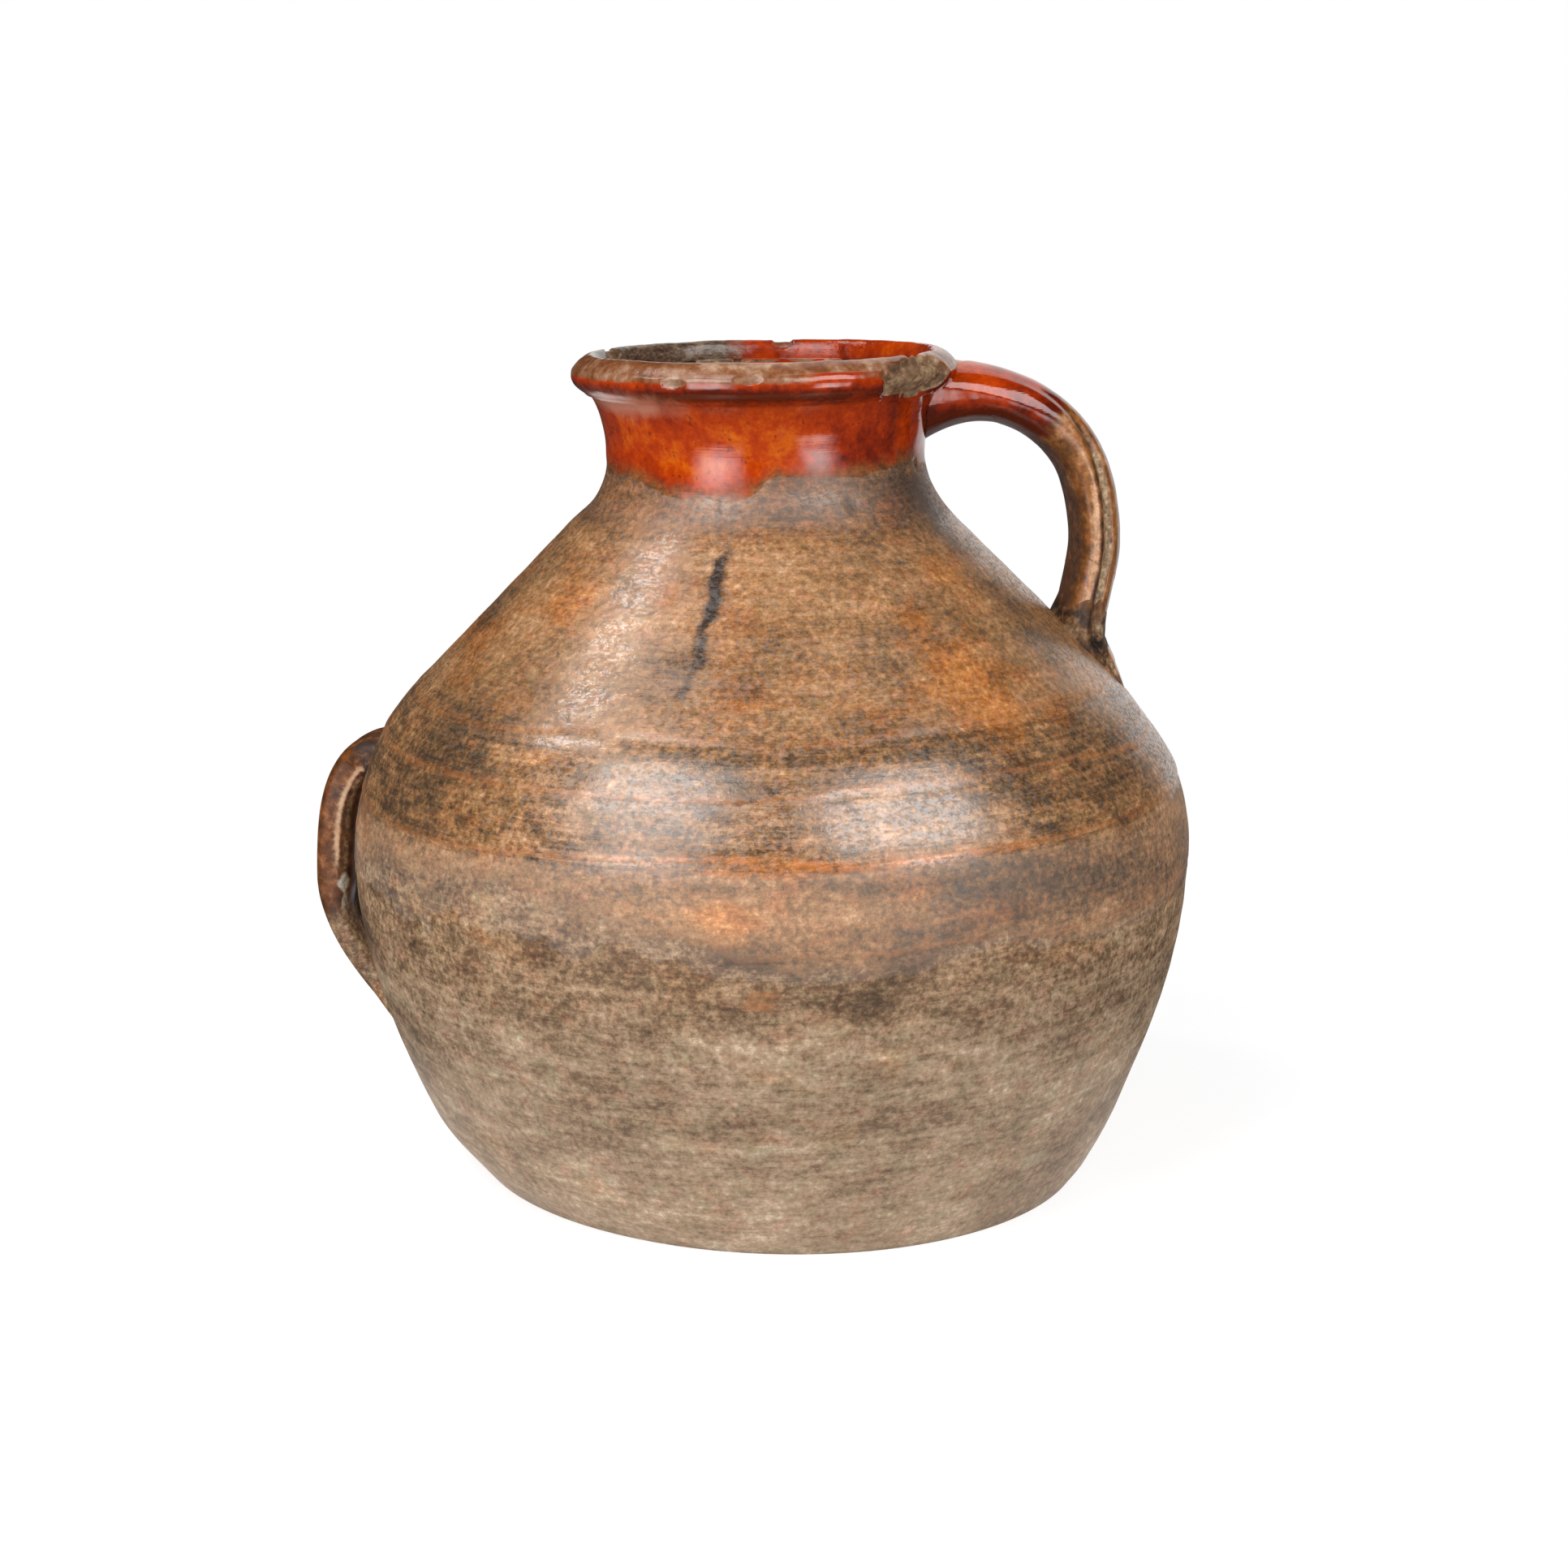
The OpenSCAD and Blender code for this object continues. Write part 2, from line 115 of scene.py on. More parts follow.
# %% The lip and the inside
band = cubic([55.5, 248.35], [57.8, 249.6], [60.2, 251.2], [60.2, LIP_Z], 20)
lip_outside = cubic([60.2, LIP_Z], [60.2, 256.5], [56.5, TOP_Z], [54.1, TOP_Z], 20)
lip_inside = cubic([54.1, TOP_Z], [52.5, TOP_Z], [51.2, 257.2], [51.2, 253.6], 20)
throat = cubic([51.2, 253.6], [50, 246.2], [43.2, 238.8], [43.2, NECK_Z], 30)


def wall_thickness(z):
    return 8 - 1.4 * np.clip((z - 102) / (NECK_Z - 102), 0, 1)


under_neck = np.array([p for p in wall_line if 28 < p[1] < NECK_Z - 1])
inside_wall = under_neck - facing(under_neck) * wall_thickness(under_neck[:, 1])[:, None]
floor_r = wall_r(26) - 8
inside_floor = cubic([floor_r, 26], [floor_r - 8.4, 12], [floor_r - 28, 12], [0, 12], 60)
inside_line = np.vstack([throat, inside_wall[::-1], inside_floor[1:]])
rim_line = np.vstack([band, lip_outside[1:], lip_inside[1:]])
print("inside outline:", len(inside_line), "points, floor", round(floor_r), "mm in radius")

# %% [markdown]
# ## What the hand did to the wall
# Clay pulled up between two hands is never an exact curve. It has a slow wobble, a spiral of
# faint waves from the fingers, and a few ridges where the hands stopped. It also has pits,
# scratches and chips from use. Each of these is a small height above or below the outline.
# They could be a Displace modifier with textures, but the ridges follow lines of their own
# round the jug, so their heights are computed, from a few marks of direction and height.

# %% Random lumps, and marks round the jug
def lumps(p, size, seed, layers=1):
    """Smooth random heights, from about -1 to 1, in lumps of this size in mm."""
    table = np.random.default_rng(seed).uniform(-1, 1, (32, 32, 32))
    total = 0
    for layer in range(layers):
        q = p / size * 2**layer
        cell = np.floor(q).astype(int)
        f = q - cell
        f = f * f * (3 - 2 * f)
        for corner in np.ndindex(2, 2, 2):
            share = np.prod(np.where(corner, f, 1 - f), -1)
            c = (cell + corner) % 32
            total = total + share * table[c[..., 0], c[..., 1], c[..., 2]] / 2**layer
    return total


def bell(x, middle, half):
    return np.exp(-(((x - middle) / half) ** 2))


def rise(x, low, high):
    """From 0 at low to 1 at high, smoothly."""
    t = np.clip((x - low) / (high - low), 0, 1)
    return t * t * (3 - 2 * t)


def turned(az, middle):
    """How far a direction is turned from another, in degrees from -180 to 180."""
    return (az - middle + 180) % 360 - 180


def round_the_jug(marks, az):
    """The height of a line that passes these marks of direction and height."""
    directions, heights = zip(*marks)
    return np.interp(az, directions, heights, period=360)


# %% Where the ridges and the pits are
RIDGE_SHOULDER = [(-137, 155.6), (-121, 158.1), (-109, 158.8), (-99, 157.8), (-88, 155.8),
                  (-79, 156.6), (-66, 158.5), (-51, 159.8), (-39, 160.1), (-20, 158.6),
                  (60, 157), (150, 156)]
RIDGE_HIGH = [(-140, 142.6), (-110, 143.1), (-95, 143.1), (-84, 143.7), (-79, 145), (-68, 145.2),
              (-57, 145.4), (-42, 145.4), (-21, 142), (60, 142.5), (150, 143.5)]
RIDGE_MIDDLE = [(-134, 124.4), (-123, 126.4), (-108, 127.5), (-96, 128.1), (-88, 127.4),
                (-81, 125.4), (-72, 125.8), (-63, 126.3), (-49, 126), (60, 127.5), (150, 125.5)]
RIDGE_LOW = [(-140, 101), (-96, 100.4), (-85, 101.5), (-75, 100.9), (-67, 102.6), (-56, 99.7),
             (-46, 100), (-36, 100), (60, 102), (150, 100.5)]
RIDGES = [(RIDGE_SHOULDER, 0.14, 0.9), (RIDGE_HIGH, 0.14, 0.6), (RIDGE_MIDDLE, 0.32, 0.7),
          (RIDGE_LOW, 0.16, 0.8)]


PITS = [(-62.4, 102, 0.9, 0.9), (-60, 216.5, 2.6, 0.35), (-53, 200.6, 1.6, 0.4),
        (-22, 226, 1.2, 0.6), (40, 120, 1.1, 0.7), (115, 176, 1.3, 0.5), (160, 88, 1.0, 0.6)]


def wall_relief(az, z, p):
    """How far the wall stands out of its outline, in mm, at each direction and height."""
    high = 0
    for marks, height, half in RIDGES:
        up = z - round_the_jug(marks, az)
        crest = height * np.exp(-np.clip(up, 0, None) / 5) * rise(up, -half, half)
        high = high + crest - 0.6 * height * bell(up, -1.6 * half, 1.3 * half)
    spiral = 0.05 * np.sin(2 * np.pi * (z / 10.5 + az / 360)) * rise(z, 30, 90)
    wobble = 0.35 * lumps(p, 46, 1) + 0.06 * lumps(p, 12, 2) + 0.03 * lumps(p, 4, 3)
    leaning_shoulder = -1.0 * np.cos(np.radians(az)) * rise(z, 128, 145) * rise(z, 218, 205)
    flat_right = -0.9 * bell(turned(az, -8), 0, 45) * bell(z, 148, 12)
    flat_right = flat_right - 0.55 * bell(turned(az, -5), 0, 45) * bell(z, 92, 20)
    wide_foot = 1.1 * bell(turned(az, 0), 0, 50) * rise(z, 36, 12)
    pits = sum(-deep * bell(np.hypot(turned(az, at) * wall_r(z) / 57.3, z - up), 0, wide)
               for at, up, wide, deep in PITS)
    shape = high + spiral + wobble + leaning_shoulder + flat_right + wide_foot + pits
    return shape * rise(z, -4, 3)


# %% [markdown]
# The lip took most of the knocks. A long piece has broken away at the front right, beside
# the root of the handle, and small ones elsewhere. A chip is a place where the surface is
# pushed in by a few mm and left rough. The same heights are used for the glaze, so that the
# glaze breaks off where the clay did.

# %% Chips in the lip
CHIPS = [(-37, 16, 253.5, 6.5, 2.0), (-116, 3.5, 254.2, 1.2, 0.5), (-94, 4, 255.5, 1.2, 0.4),
         (158, 6, 258, 2.4, 0.9), (84, 4, 259, 2, 0.7)]


def chipped(az, z, p):
    """How deep the lip is broken, in mm."""
    deep = 0
    for middle, half, height, tall, depth in CHIPS:
        away = np.hypot(turned(az, middle) / half, (z - height) / tall)
        ragged = away + 0.16 * lumps(p, 5, 21) + 0.08 * lumps(p, 1.8, 22)
        rough = 1 + 0.3 * lumps(p, 3.2, 23) + 0.16 * lumps(p, 1.1, 24)
        deep = deep + depth * rise(ragged, 1.06, 0.84) * rough
    return deep


# %% [markdown]
# ## From a grid of points to a piece
# Every piece here is a closed skin over a grid of points: rows along its line, and columns
# round it. A solid one closes to a point at both ends, and a coat of glaze closes on itself,
# out over its face and back under it. One function makes both, hides the imported part that the piece stands
# for, and hangs the piece on the body that it rides on.

# %% The skin
def skin(name, node, rows, poles=None):
    """A closed piece over rows of points in metres, of shape (rows, columns, 3).
    poles are its two end points. Without them the last row joins the first."""
    count, columns = rows.shape[:2]
    points = rows.reshape(-1, 3)
    i = np.arange(count if poles is None else count - 1)[:, None]
    j = np.arange(columns)[None, :]
    k, below = (j + 1) % columns, (i + 1) % count
    corners = [i * columns + j, i * columns + k, below * columns + k, below * columns + j]
    faces = np.stack(np.broadcast_arrays(*corners), -1).reshape(-1, 4).tolist()
    if poles is not None:
        first, last = len(points), len(points) + 1
        points = np.vstack([points, poles])
        end = (count - 1) * columns
        faces += [[first, (c + 1) % columns, c] for c in range(columns)]
        faces += [[last, end + c, end + (c + 1) % columns] for c in range(columns)]
    mesh = bpy.data.meshes.new(name)
    mesh.from_pydata(points.tolist(), [], faces)
    mesh.polygons.foreach_set("use_smooth", [True] * len(mesh.polygons))
    mesh.update()
    piece = bpy.data.objects.new(name, mesh)
    bpy.context.scene.collection.objects.link(piece)
    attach(piece, "root")
    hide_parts(node)
    print(f"{name}: {len(points)} points")
    return piece


def paint(piece, **masks):
    """Stores a number from 0 to 1 for each point, for the finishes to read by name."""
    for name, values in masks.items():
        flat = np.zeros(len(piece.data.vertices), np.float32)
        flat[:values.size] = np.clip(values, 0, 1).ravel()
        piece.data.attributes.new(name, "FLOAT", "POINT").data.foreach_set("value", flat)


def ring_grid(line, out, az):
    """Rows of points, in mm, round a line that is pushed out by these amounts."""
    way = facing(line)
    r = line[:, :1] + way[:, :1] * out
    z = line[:, 1:] + way[:, 1:] * out
    turn = np.radians(az)
    return np.stack([r * np.cos(turn), r * np.sin(turn), z + 0 * turn], -1)


azimuths = np.linspace(-180, 180, TURN_COLUMNS, endpoint=False)[None, :]

# %% [markdown]
# ## Stains
# Sixty years in a kitchen leave stains on a jug: grease that has darkened, spots where the
# red clay shines through, lime and dust. They could be painted by hand in Texture Paint.
# Here each is a soft spot, with a direction, a height, two half sizes (degrees and mm) and a
# strength, and the finishes break up its edge with noise. The back was never photographed,
# so it gets spots of the same kind at random. One long thin dark spot, beside the tipping handle, is no
# stain but painted shade.

# %% Where the stains are
STAINS_AND_SHADE = {
    "dark": [(-148, 155, 10, 14, .5), (-142, 150, 8, 12, .4), (-144, 170, 8, 8, .35),
             (-147, 132, 9, 10, .3), (-136, 146, 8, 6, .25), (-112, 181, 4, 5, .35),
             (-107, 174, 5, 4, .4), (-110, 167, 6, 5, .3), (-91, 169.6, 3, 2, .5),
             (-84, 168, 3, 1.6, .5), (-103, 178, 3, 4, .35), (-93, 171, 5, 3, .3),
             (-25, 189, 7, 12, .5), (-25, 176, 8, 10, .5), (-42, 177, 6, 7, .2),
             (-59, 152, 5, 4, .45), (-41, 154, 10, 5, .4), (-26, 140, 10, 10, .5),
             (-51, 122, 6, 3, .4), (-43, 111, 8, 5, .45), (-33, 107, 8, 6, .45),
             (-55, 140, 6, 6, .3), (-66, 175, 3, 2, .3), (-74, 106, 10, 4, .35),
             (-69, 101, 8, 3, .4), (-33, 220, 9, 7, .7), (-21, 214, 8, 9, .7),
             (-43, 210, 5, 4, .4), (-28, 206, 8, 9, .45), (-60, 216.5, 2.4, 2, .6),
             (-53, 200.6, 1.6, 1, .5), (-118, 61, 8, 3, .35), (-106, 76, 6, 4, .3),
             (-99, 45, 12, 3, .25), (-79, 91, 5, 3, .3), (-93, 86, 4, 3, .3),
             # The last spot on the next line, at -169 degrees and 110 mm, long and thin, is painted shade:
             # the dark line that the tipping handle casts on the wall beside it.
             (-47, 168, 2, 2, .35), (-54, 177, 1.2, 1, .5), (-169, 110, 1.5, 26, .7),
             (-95.4, 120.6, 5, 1.6, .8), (-92, 101.3, 4, 3, .8), (-77.7, 87, 5, 4, .7),
             (-71.8, 94.4, 4, 3, .5), (-76, 121, 13, 3.5, .5), (-52, 112, 14, 6, .3),
             (-62, 118, 13, 6, .55), (-88, 131, 7, 6, .3), (-40, 25, 16, 14, .35),
             (-40, 106, 16, 7, .25)],
    "orange": [(-138, 190, 8, 8, .6), (-150, 168, 5, 5, .4), (-132, 163, 6, 4, .35),
               (-125, 152, 4, 4, .3), (-112, 193, 5, 5, .3), (-95, 180, 10, 12, .35),
               (-91, 167, 8, 4, .3), (-58, 184, 4, 6, .5), (-55, 172, 4.5, 7, .8),
               (-52, 160, 4.5, 7, .9), (-38, 157, 8, 3, .5), (-69, 163, 8, 4, .4),
               (-49, 213, 5, 3, .5), (-43, 195, 7, 7, .4), (-59, 189, 8, 5, .4),
               (-47, 177, 6, 6, .4), (-45, 168, 8, 8, .4), (-83, 126, 2.5, 1.6, 1),
               (-68, 119, 9, 4, .3), (-62, 110, 6, 4, .3), (-98, 112, 5, 5, .4),
               (-96, 115, 5, 3, .4), (-98, 105, 5, 2, .4), (-91, 92, 4, 2.5, .6),
               (-92, 87, 3, 2, .6), (-140, 108, 8, 4, .3), (-94, 111.5, 5, 3.5, .45),
             (-90, 125.3, 10, 1.4, 1.2), (-90.7, 88.7, 4, 4, .8)],
    "pale": [(-137, 145, .8, 2, .8), (-137, 142, .7, 1.5, .8), (-138, 131, .8, 2, .8),
             (-126, 137, 6, .6, .6), (-80, 222, 4, 1.4, .6), (-68, 222, 6, 2.5, .6),
             (-95, 205, 1.5, .6, .7), (-87, 204, 3, .8, .6), (-73, 96, 4, 3, .5),
             (-56, 90, 3, 4, .6), (-88, 86, 7, 2.5, .5), (-85, 79, 8, 2.5, .4),
             (-79, 18, 8, 3, .5), (-100, 24, 12, 4, .4), (-139, 92, 3, 2, .5),
             (-62.4, 102, 1.2, 2.6, .6), (-100.5, 90.5, 4, 2.5, .8), (-88, 76.8, 10, 1.5, .7)],
    "green": [(-120, 27, 12, 6, .7), (-107, 32, 10, 6, .6), (-78, 55, 7, 8, .5),
              (-81, 34, 8, 7, .5), (-73, 30, 8, 7, .5), (-45, 50, 8, 8, .7),
              (-45, 24, 9, 10, .6), (-77, 18, 9, 5, .6), (-92, 102, 3, 3, .6),
              (-98, 99, 3, 2, .4), (-64, 218, 6, 3, .7), (-24, 225, 8, 4, .7),
              (-85, 86, 6, 2, .4), (-38, 20, 14, 14, .35), (-44, 214, 10, 6, .5), (-125, 216, 10, 5, .4)],
    "pink": [(-136, 47, 10, 8, .6), (-122, 43, 8, 8, .5), (-101, 65, 10, 10, .6),
             (-88, 50, 9, 8, .6), (-70, 56, 8, 8, .5), (-143, 8, 8, 6, .5),
             (-109, 6, 20, 4, .5), (-124, 101, 9, 4, .3), (-76, 72, 8, 6, .4)],
}
chance = np.random.default_rng(60)
for spots in STAINS_AND_SHADE.values():
    for _ in range(len(spots) * 5 // 4):
        spots.append((chance.uniform(-8, 196), chance.uniform(5, 220), chance.uniform(3, 12),
                      chance.uniform(2, 10), chance.uniform(0.2, 0.7)))


def stain_and_shade(kind, az, z):
    return sum(strength * bell(turned(az, at), 0, wide) * bell(z, up, tall)
               for at, up, wide, tall, strength in STAINS_AND_SHADE[kind])


def run_down(az, z):
    """The long dark run down the front of the shoulder, 1 at its middle."""
    along = np.interp(z, [168, 174, 180, 186, 194, 203, 211, 216],
                      [-103.4, -103, -102.3, -102, -101.6, -101, -99.3, -98])
    length = np.interp(z, [164, 169, 172, 177, 184, 190, 198, 203, 207, 216, 220],
                       [0, 0.7, 0.45, 0.8, 0.75, 1, 1, 0.9, 0.35, 0.3, 0])
    waver = 0.5 * np.sin(z / 2.3) + 0.3 * np.sin(z / 0.9)
    return length * bell(turned(az, along + waver), 0, 1.4 + 0.7 * rise(z, 183, 189))


def worn_lines(az, z):
    """How bare the crest of each ridge is worn. The third one is worn most, in front."""
    total = 0
    for (marks, _, _), bare in zip(RIDGES, (0.3, 0.35, 0.3, 0.3)):
        total = total + bare * bell(z - round_the_jug(marks, az), 0.5, 0.9)
    front = bell(turned(az, -81), 0, 26)
    return total + 0.7 * front * bell(z - round_the_jug(RIDGE_MIDDLE, az), 0.4, 1.1)


# %% [markdown]
# ## The body
# The thrown wall, the lip and the floor are one piece of clay. The lowest rows start on the
# ground, at a height that differs from side to side because the axis leans. The potter
# trimmed the edge of the base with a knife, which is a cone about the middle of the base.
# The underside is a little hollow, so that the jug stands on a ring and doesn't rock.

# %% The body
BASE_R, BEVEL = 100, np.tan(np.radians(41))


def smaller_of(a, b, soft):
    """The smaller of two values, with the corner between them rounded."""
    h = np.clip(0.5 + 0.5 * (b - a) / soft, 0, 1)
    return b + (a - b) * h - soft * h * (1 - h)


def trimmed(p):
    """Cuts points, in metres, by the ground and by the cone round the base."""
    p = p.copy()
    p[..., 2] = np.maximum(p[..., 2], 0)
    r = np.hypot(p[..., 0], p[..., 1]) * 1000
    cut = smaller_of(r, BASE_R + p[..., 2] * 1000 * BEVEL, 1.4)
    p[..., :2] *= (cut / r)[..., None]
    return p


def outside_rows(low, high, step, az):
    """Radius and height of the wall at each row and direction, in mm."""
    z = np.arange(low, high, step)[:, None]
    return wall_r(z) + 0 * az, z + 0 * az


def pushed(r, z, out, az):
    """Points at radius r and height z, pushed straight out of the wall."""
    slope = (wall_r(z + 0.5) - wall_r(z - 0.5))
    long = np.sqrt(1 + slope**2)
    turn = np.radians(az)
    r, z = r + out / long, z - out * slope / long
    return np.stack([r * np.cos(turn), r * np.sin(turn), z], -1)


def on_axis(r, z, az):
    turn = np.radians(az)
    return np.stack([r * np.cos(turn), r * np.sin(turn), z + 0 * turn], -1)


FOOT_TOP = 40
ground = -wall_r(0) * np.cos(np.radians(azimuths)) * np.tan(LEAN)
ground /= 1 + np.tan(np.radians(30)) * np.cos(np.radians(azimuths)) * np.tan(LEAN)
foot_share = np.linspace(0, 1, 50)[:-1, None] ** 1.3
foot_z = ground + (FOOT_TOP - ground) * foot_share
flank_rows = [(wall_r(foot_z), foot_z)]
flank_rows.append(outside_rows(FOOT_TOP, NECK_Z, 0.8, azimuths))
flank_rows.append(outside_rows(NECK_Z, STEP_Z, 0.6, azimuths))
wall_rr, wall_zz = (np.vstack(part) for part in zip(*flank_rows))
wall_out = wall_relief(azimuths, wall_zz, on_axis(wall_rr, wall_zz, azimuths))
outside = trimmed(stood(pushed(wall_rr, wall_zz, wall_out, azimuths)))

rim = evenly(rim_line, 0.45)
rim_at = on_axis(rim[:, :1], rim[:, 1:], azimuths)
worn = 0.22 * lumps(rim_at, 9, 5) + 0.1 * lumps(rim_at, 2.4, 6) + 0.3 * lumps(rim_at, 60, 7)
rim_out = worn * rise(rim[:, 1:], 249, 254) - chipped(azimuths, rim[:, 1:], rim_at)
rim_rows = stood(ring_grid(rim, rim_out, azimuths))

lining_under = evenly(inside_line[:-1], 3)
inside_rows = stood(ring_grid(lining_under, 0, azimuths))

shrink = np.array([0.02, 0.2, 0.4, 0.6, 0.75, 0.85, 0.9, 0.94, 0.97, 0.985, 0.995])[:, None]
under = outside[0][None] * shrink[..., None]
under[..., 2] = (0.0009 * rise(shrink, 0.97, 0.84)
                 + 0.0001 * lumps(under * 1000, 8, 8) * rise(shrink, 0.99, 0.9))
under[..., 2] = np.maximum(under[..., 2], 0)
body = skin("jug_body", "body", np.vstack([under, outside, rim_rows, inside_rows]),
            poles=[(0, 0, 0.0009), stood((0, 0, 12))])


def over_body(wall, at_rim, under_base=0.0):
    """A mask for the body from its values on the wall and at the rim."""
    rows = [np.full(under.shape[:2], under_base), wall, np.broadcast_to(at_rim, rim_out.shape),
            np.full(inside_rows.shape[:2], np.max(at_rim[-1]))]
    return np.vstack(rows)


nothing = np.zeros_like(rim_out)
brown_lip = bell(turned(azimuths, -152), 0, 30)
past_crest = rise(-rim[:, :1], -54.6, -53.6) + nothing
dirty_side = rise(np.abs(turned(azimuths, 150)), 62, 38)
paint(body, rim=over_body(0 * wall_zz, rise(rim[:, 1:], 250, 253) + nothing),
      high=over_body(rise(wall_zz, 62, 100), nothing),
      foot=over_body(rise(wall_zz, 46, 14), nothing),
      brown=over_body(0 * wall_zz, brown_lip + nothing),
      lined=over_body(0 * wall_zz, past_crest),
      lining=over_body(0 * wall_zz, past_crest * dirty_side),
      broken=over_body(0 * wall_zz, rise(chipped(azimuths, rim[:, 1:], rim_at), 0.3, 0.9)),
      **{kind: over_body(stain_and_shade(kind, azimuths, wall_zz), nothing) for kind in STAINS_AND_SHADE})

# %% [markdown]
# ## The coats
# The slip is a thin dark clay, the glaze a thick glass. Each is a shell that starts a little
# inside the wall and ends a fraction of a mm outside it. Where its height falls below the
# wall's own, the wall shows: that makes ragged edges, drips and worn holes without cutting
# anything. The alternative, one skin with two materials, has no thickness at its edges.

# %% A coat on the wall
SLIP_END = [(-150, 104), (-140, 103), (-127, 104), (-118, 103), (-110, 102), (-100, 98),
            (-94, 95), (-88, 93), (-82, 93), (-76, 94), (-71, 96), (-66, 98), (-61, 100),
            (-58, 100), (-55, 97), (-46, 95), (-36, 95), (0, 99), (60, 100), (150, 104)]
UNDER = 0.5   # how deep the hidden side of a coat lies in the wall, in mm


def wall_coat(name, node, low, high, step, thick):
    """A shell on the plain part of the wall. thick gives its height in mm."""
    r, z = outside_rows(low, high, step, azimuths)
    at = on_axis(r, z, azimuths)
    relief = wall_relief(azimuths, z, at)
    face = relief + np.clip(thick(azimuths, z, at), -0.35, 1.5)
    top = stood(pushed(r, z, face, azimuths))
    back = stood(pushed(r, z, relief - UNDER, azimuths))
    piece = skin(name, node, np.vstack([top, back[::-1]]))
    masks = {kind: stain_and_shade(kind, azimuths, z) for kind in STAINS_AND_SHADE}
    end = round_the_jug(SLIP_END, azimuths)
    masks.update(high=rise(z, 62, 100), run=run_down(azimuths, z), crest=worn_lines(azimuths, z),
                 gone=rise(z, end + 9 + 22 * bell(turned(azimuths, -135), 0, 45), end - 5),
                 belly=rise(z, 121, 127) * rise(z, 162, 155), matt=rise(z, 127, 121) + 0.6 * rise(z, 207, 213), root=rise(z, 204, 216))
    paint(piece, **{key: np.vstack([values, values[::-1]]) for key, values in masks.items()})
    return piece


def slip_thick(az, z, p):
    end = round_the_jug(SLIP_END, az)
    blotchy = 1 + 5 * bell(turned(az, -128), 0, 32) + 3 * bell(turned(az, 90), 0, 80)
    edge = z - end - blotchy * (0.9 * lumps(p, 14, 31) + 0.6 * lumps(p, 4, 32))
    cover = rise(edge, -1.2, 1.2)
    return 0.32 * cover - 0.12 + 0.04 * lumps(p, 6, 33)


slip_coat = wall_coat("slip_coat", "slip_coat", 86, 232, 0.8, slip_thick)

# %% [markdown]
# The glaze on the neck was dipped. It ran down and stopped in a wavy line with a thick,
# rounded edge. Over the step and the band it pools in the hollow, and on the lip it has been
# worn and knocked off.

# %% The glaze on the neck
GLAZE_END = [(-165, 225.5), (-146, 226), (-134, 223.6), (-125, 221.3), (-113, 220.2), (-96, 220.4),
             (-92, 222.5), (-90, 225), (-85, 226.8), (-80, 227), (-65, 226), (-51, 226.4),
             (-38, 227.6), (-28, 228.3), (20, 225), (80, 222), (130, 226)]


def glaze_thick(az, z, p):
    up = z - round_the_jug(GLAZE_END, az) + 4.5 + lumps(p, 7, 41) + 0.4 * lumps(p, 2.5, 42)
    high = 0.12 + 0.36 * rise(up, 1, 9) + 0.1 * lumps(p, 7, 43) * rise(up, 2, 8)
    return high * rise(up, -0.4, 0.8) - 0.3 * rise(up, 0.4, -0.6)


neck_line = np.array([(wall_r(z), z) for z in np.arange(212, STEP_Z, 0.5)])
glazed_line = np.vstack([neck_line, evenly(np.vstack([band, lip_outside[1:8]]), 0.4)])
glazed_z = glazed_line[:, 1:]
glazed_at = on_axis(glazed_line[:, :1], glazed_z, azimuths)
plain_part = rise(glazed_z, STEP_Z + 1, STEP_Z - 1)
neck_relief = wall_relief(azimuths, glazed_z, glazed_at) * plain_part
rim_wear = (0.22 * lumps(glazed_at, 9, 5) + 0.1 * lumps(glazed_at, 2.4, 6)
            + 0.3 * lumps(glazed_at, 60, 7)) * rise(glazed_z, 249, 254)
GLAZE_TOP = [(-175, 256.5), (-150, 257), (-134, 256.6), (-124, 256), (-96, 256), (-84, 257),
             (-62, 258.6), (-55, 258), (-40, 254), (0, 256), (60, 256), (150, 255.5)]
glaze_top = round_the_jug(GLAZE_TOP, azimuths)
lip_end = rise(glazed_z + 0.6 * lumps(glazed_at, 9, 44), glaze_top + 1.2, glaze_top - 1.2)
step_edge = 0.35 * bell(glazed_z, STEP_Z + 0.3, 0.5)
broken = chipped(azimuths, glazed_z, glazed_at)
thins_out = 0.3 + 0.7 * rise(glazed_z, 254.5, 251)
glaze_out = glaze_thick(azimuths, glazed_z, glazed_at) * lip_end * thins_out - 0.3 * (1 - lip_end)
glaze_out = glaze_out + step_edge - 3 * np.clip(broken, 0, 0.25)
glaze_face = neck_relief + rim_wear - broken + np.clip(glaze_out, -0.35, 1.4)
glaze_back = neck_relief + rim_wear - broken - UNDER
neck_glaze = skin("neck_glaze", "neck_glaze", np.vstack([
    stood(ring_grid(glazed_line, glaze_face, azimuths)),
    stood(ring_grid(glazed_line, glaze_back, azimuths))[::-1]]))

glaze_low = round_the_jug(GLAZE_END, azimuths)
right_side = rise(turned(azimuths, -68), -8, 8) * rise(turned(azimuths, 30), 30, 0)
glaze_masks = {"ending": rise(glazed_z, glaze_low + 9, glaze_low - 5),
               "brown": brown_lip + 0 * glaze_out, "root": 1 + 0 * glaze_out,
               # soft paints a pale pink patch on the band at the left, which is a painted reflection, and
               # makes it less glossy.
               "soft": bell(turned(azimuths, -142), 0, 24) * bell(glazed_z, 247, 4),
               "pooled_and_shaded": bell(glazed_z, 250.6, 2.4) + 0.25 * right_side,
               "worn": rise(glazed_z, 252.5, 255.5) * (1 - 0.8 * bell(turned(azimuths, -69), 0, 11)),
               "thin": 0.9 * bell(turned(azimuths, -128), 0, 26) * bell(glazed_z, 234, 9)
               + 0.5 * bell(turned(azimuths, -85), 0, 22) * bell(glazed_z, 240, 5),
               "lining": 0 * glaze_out}
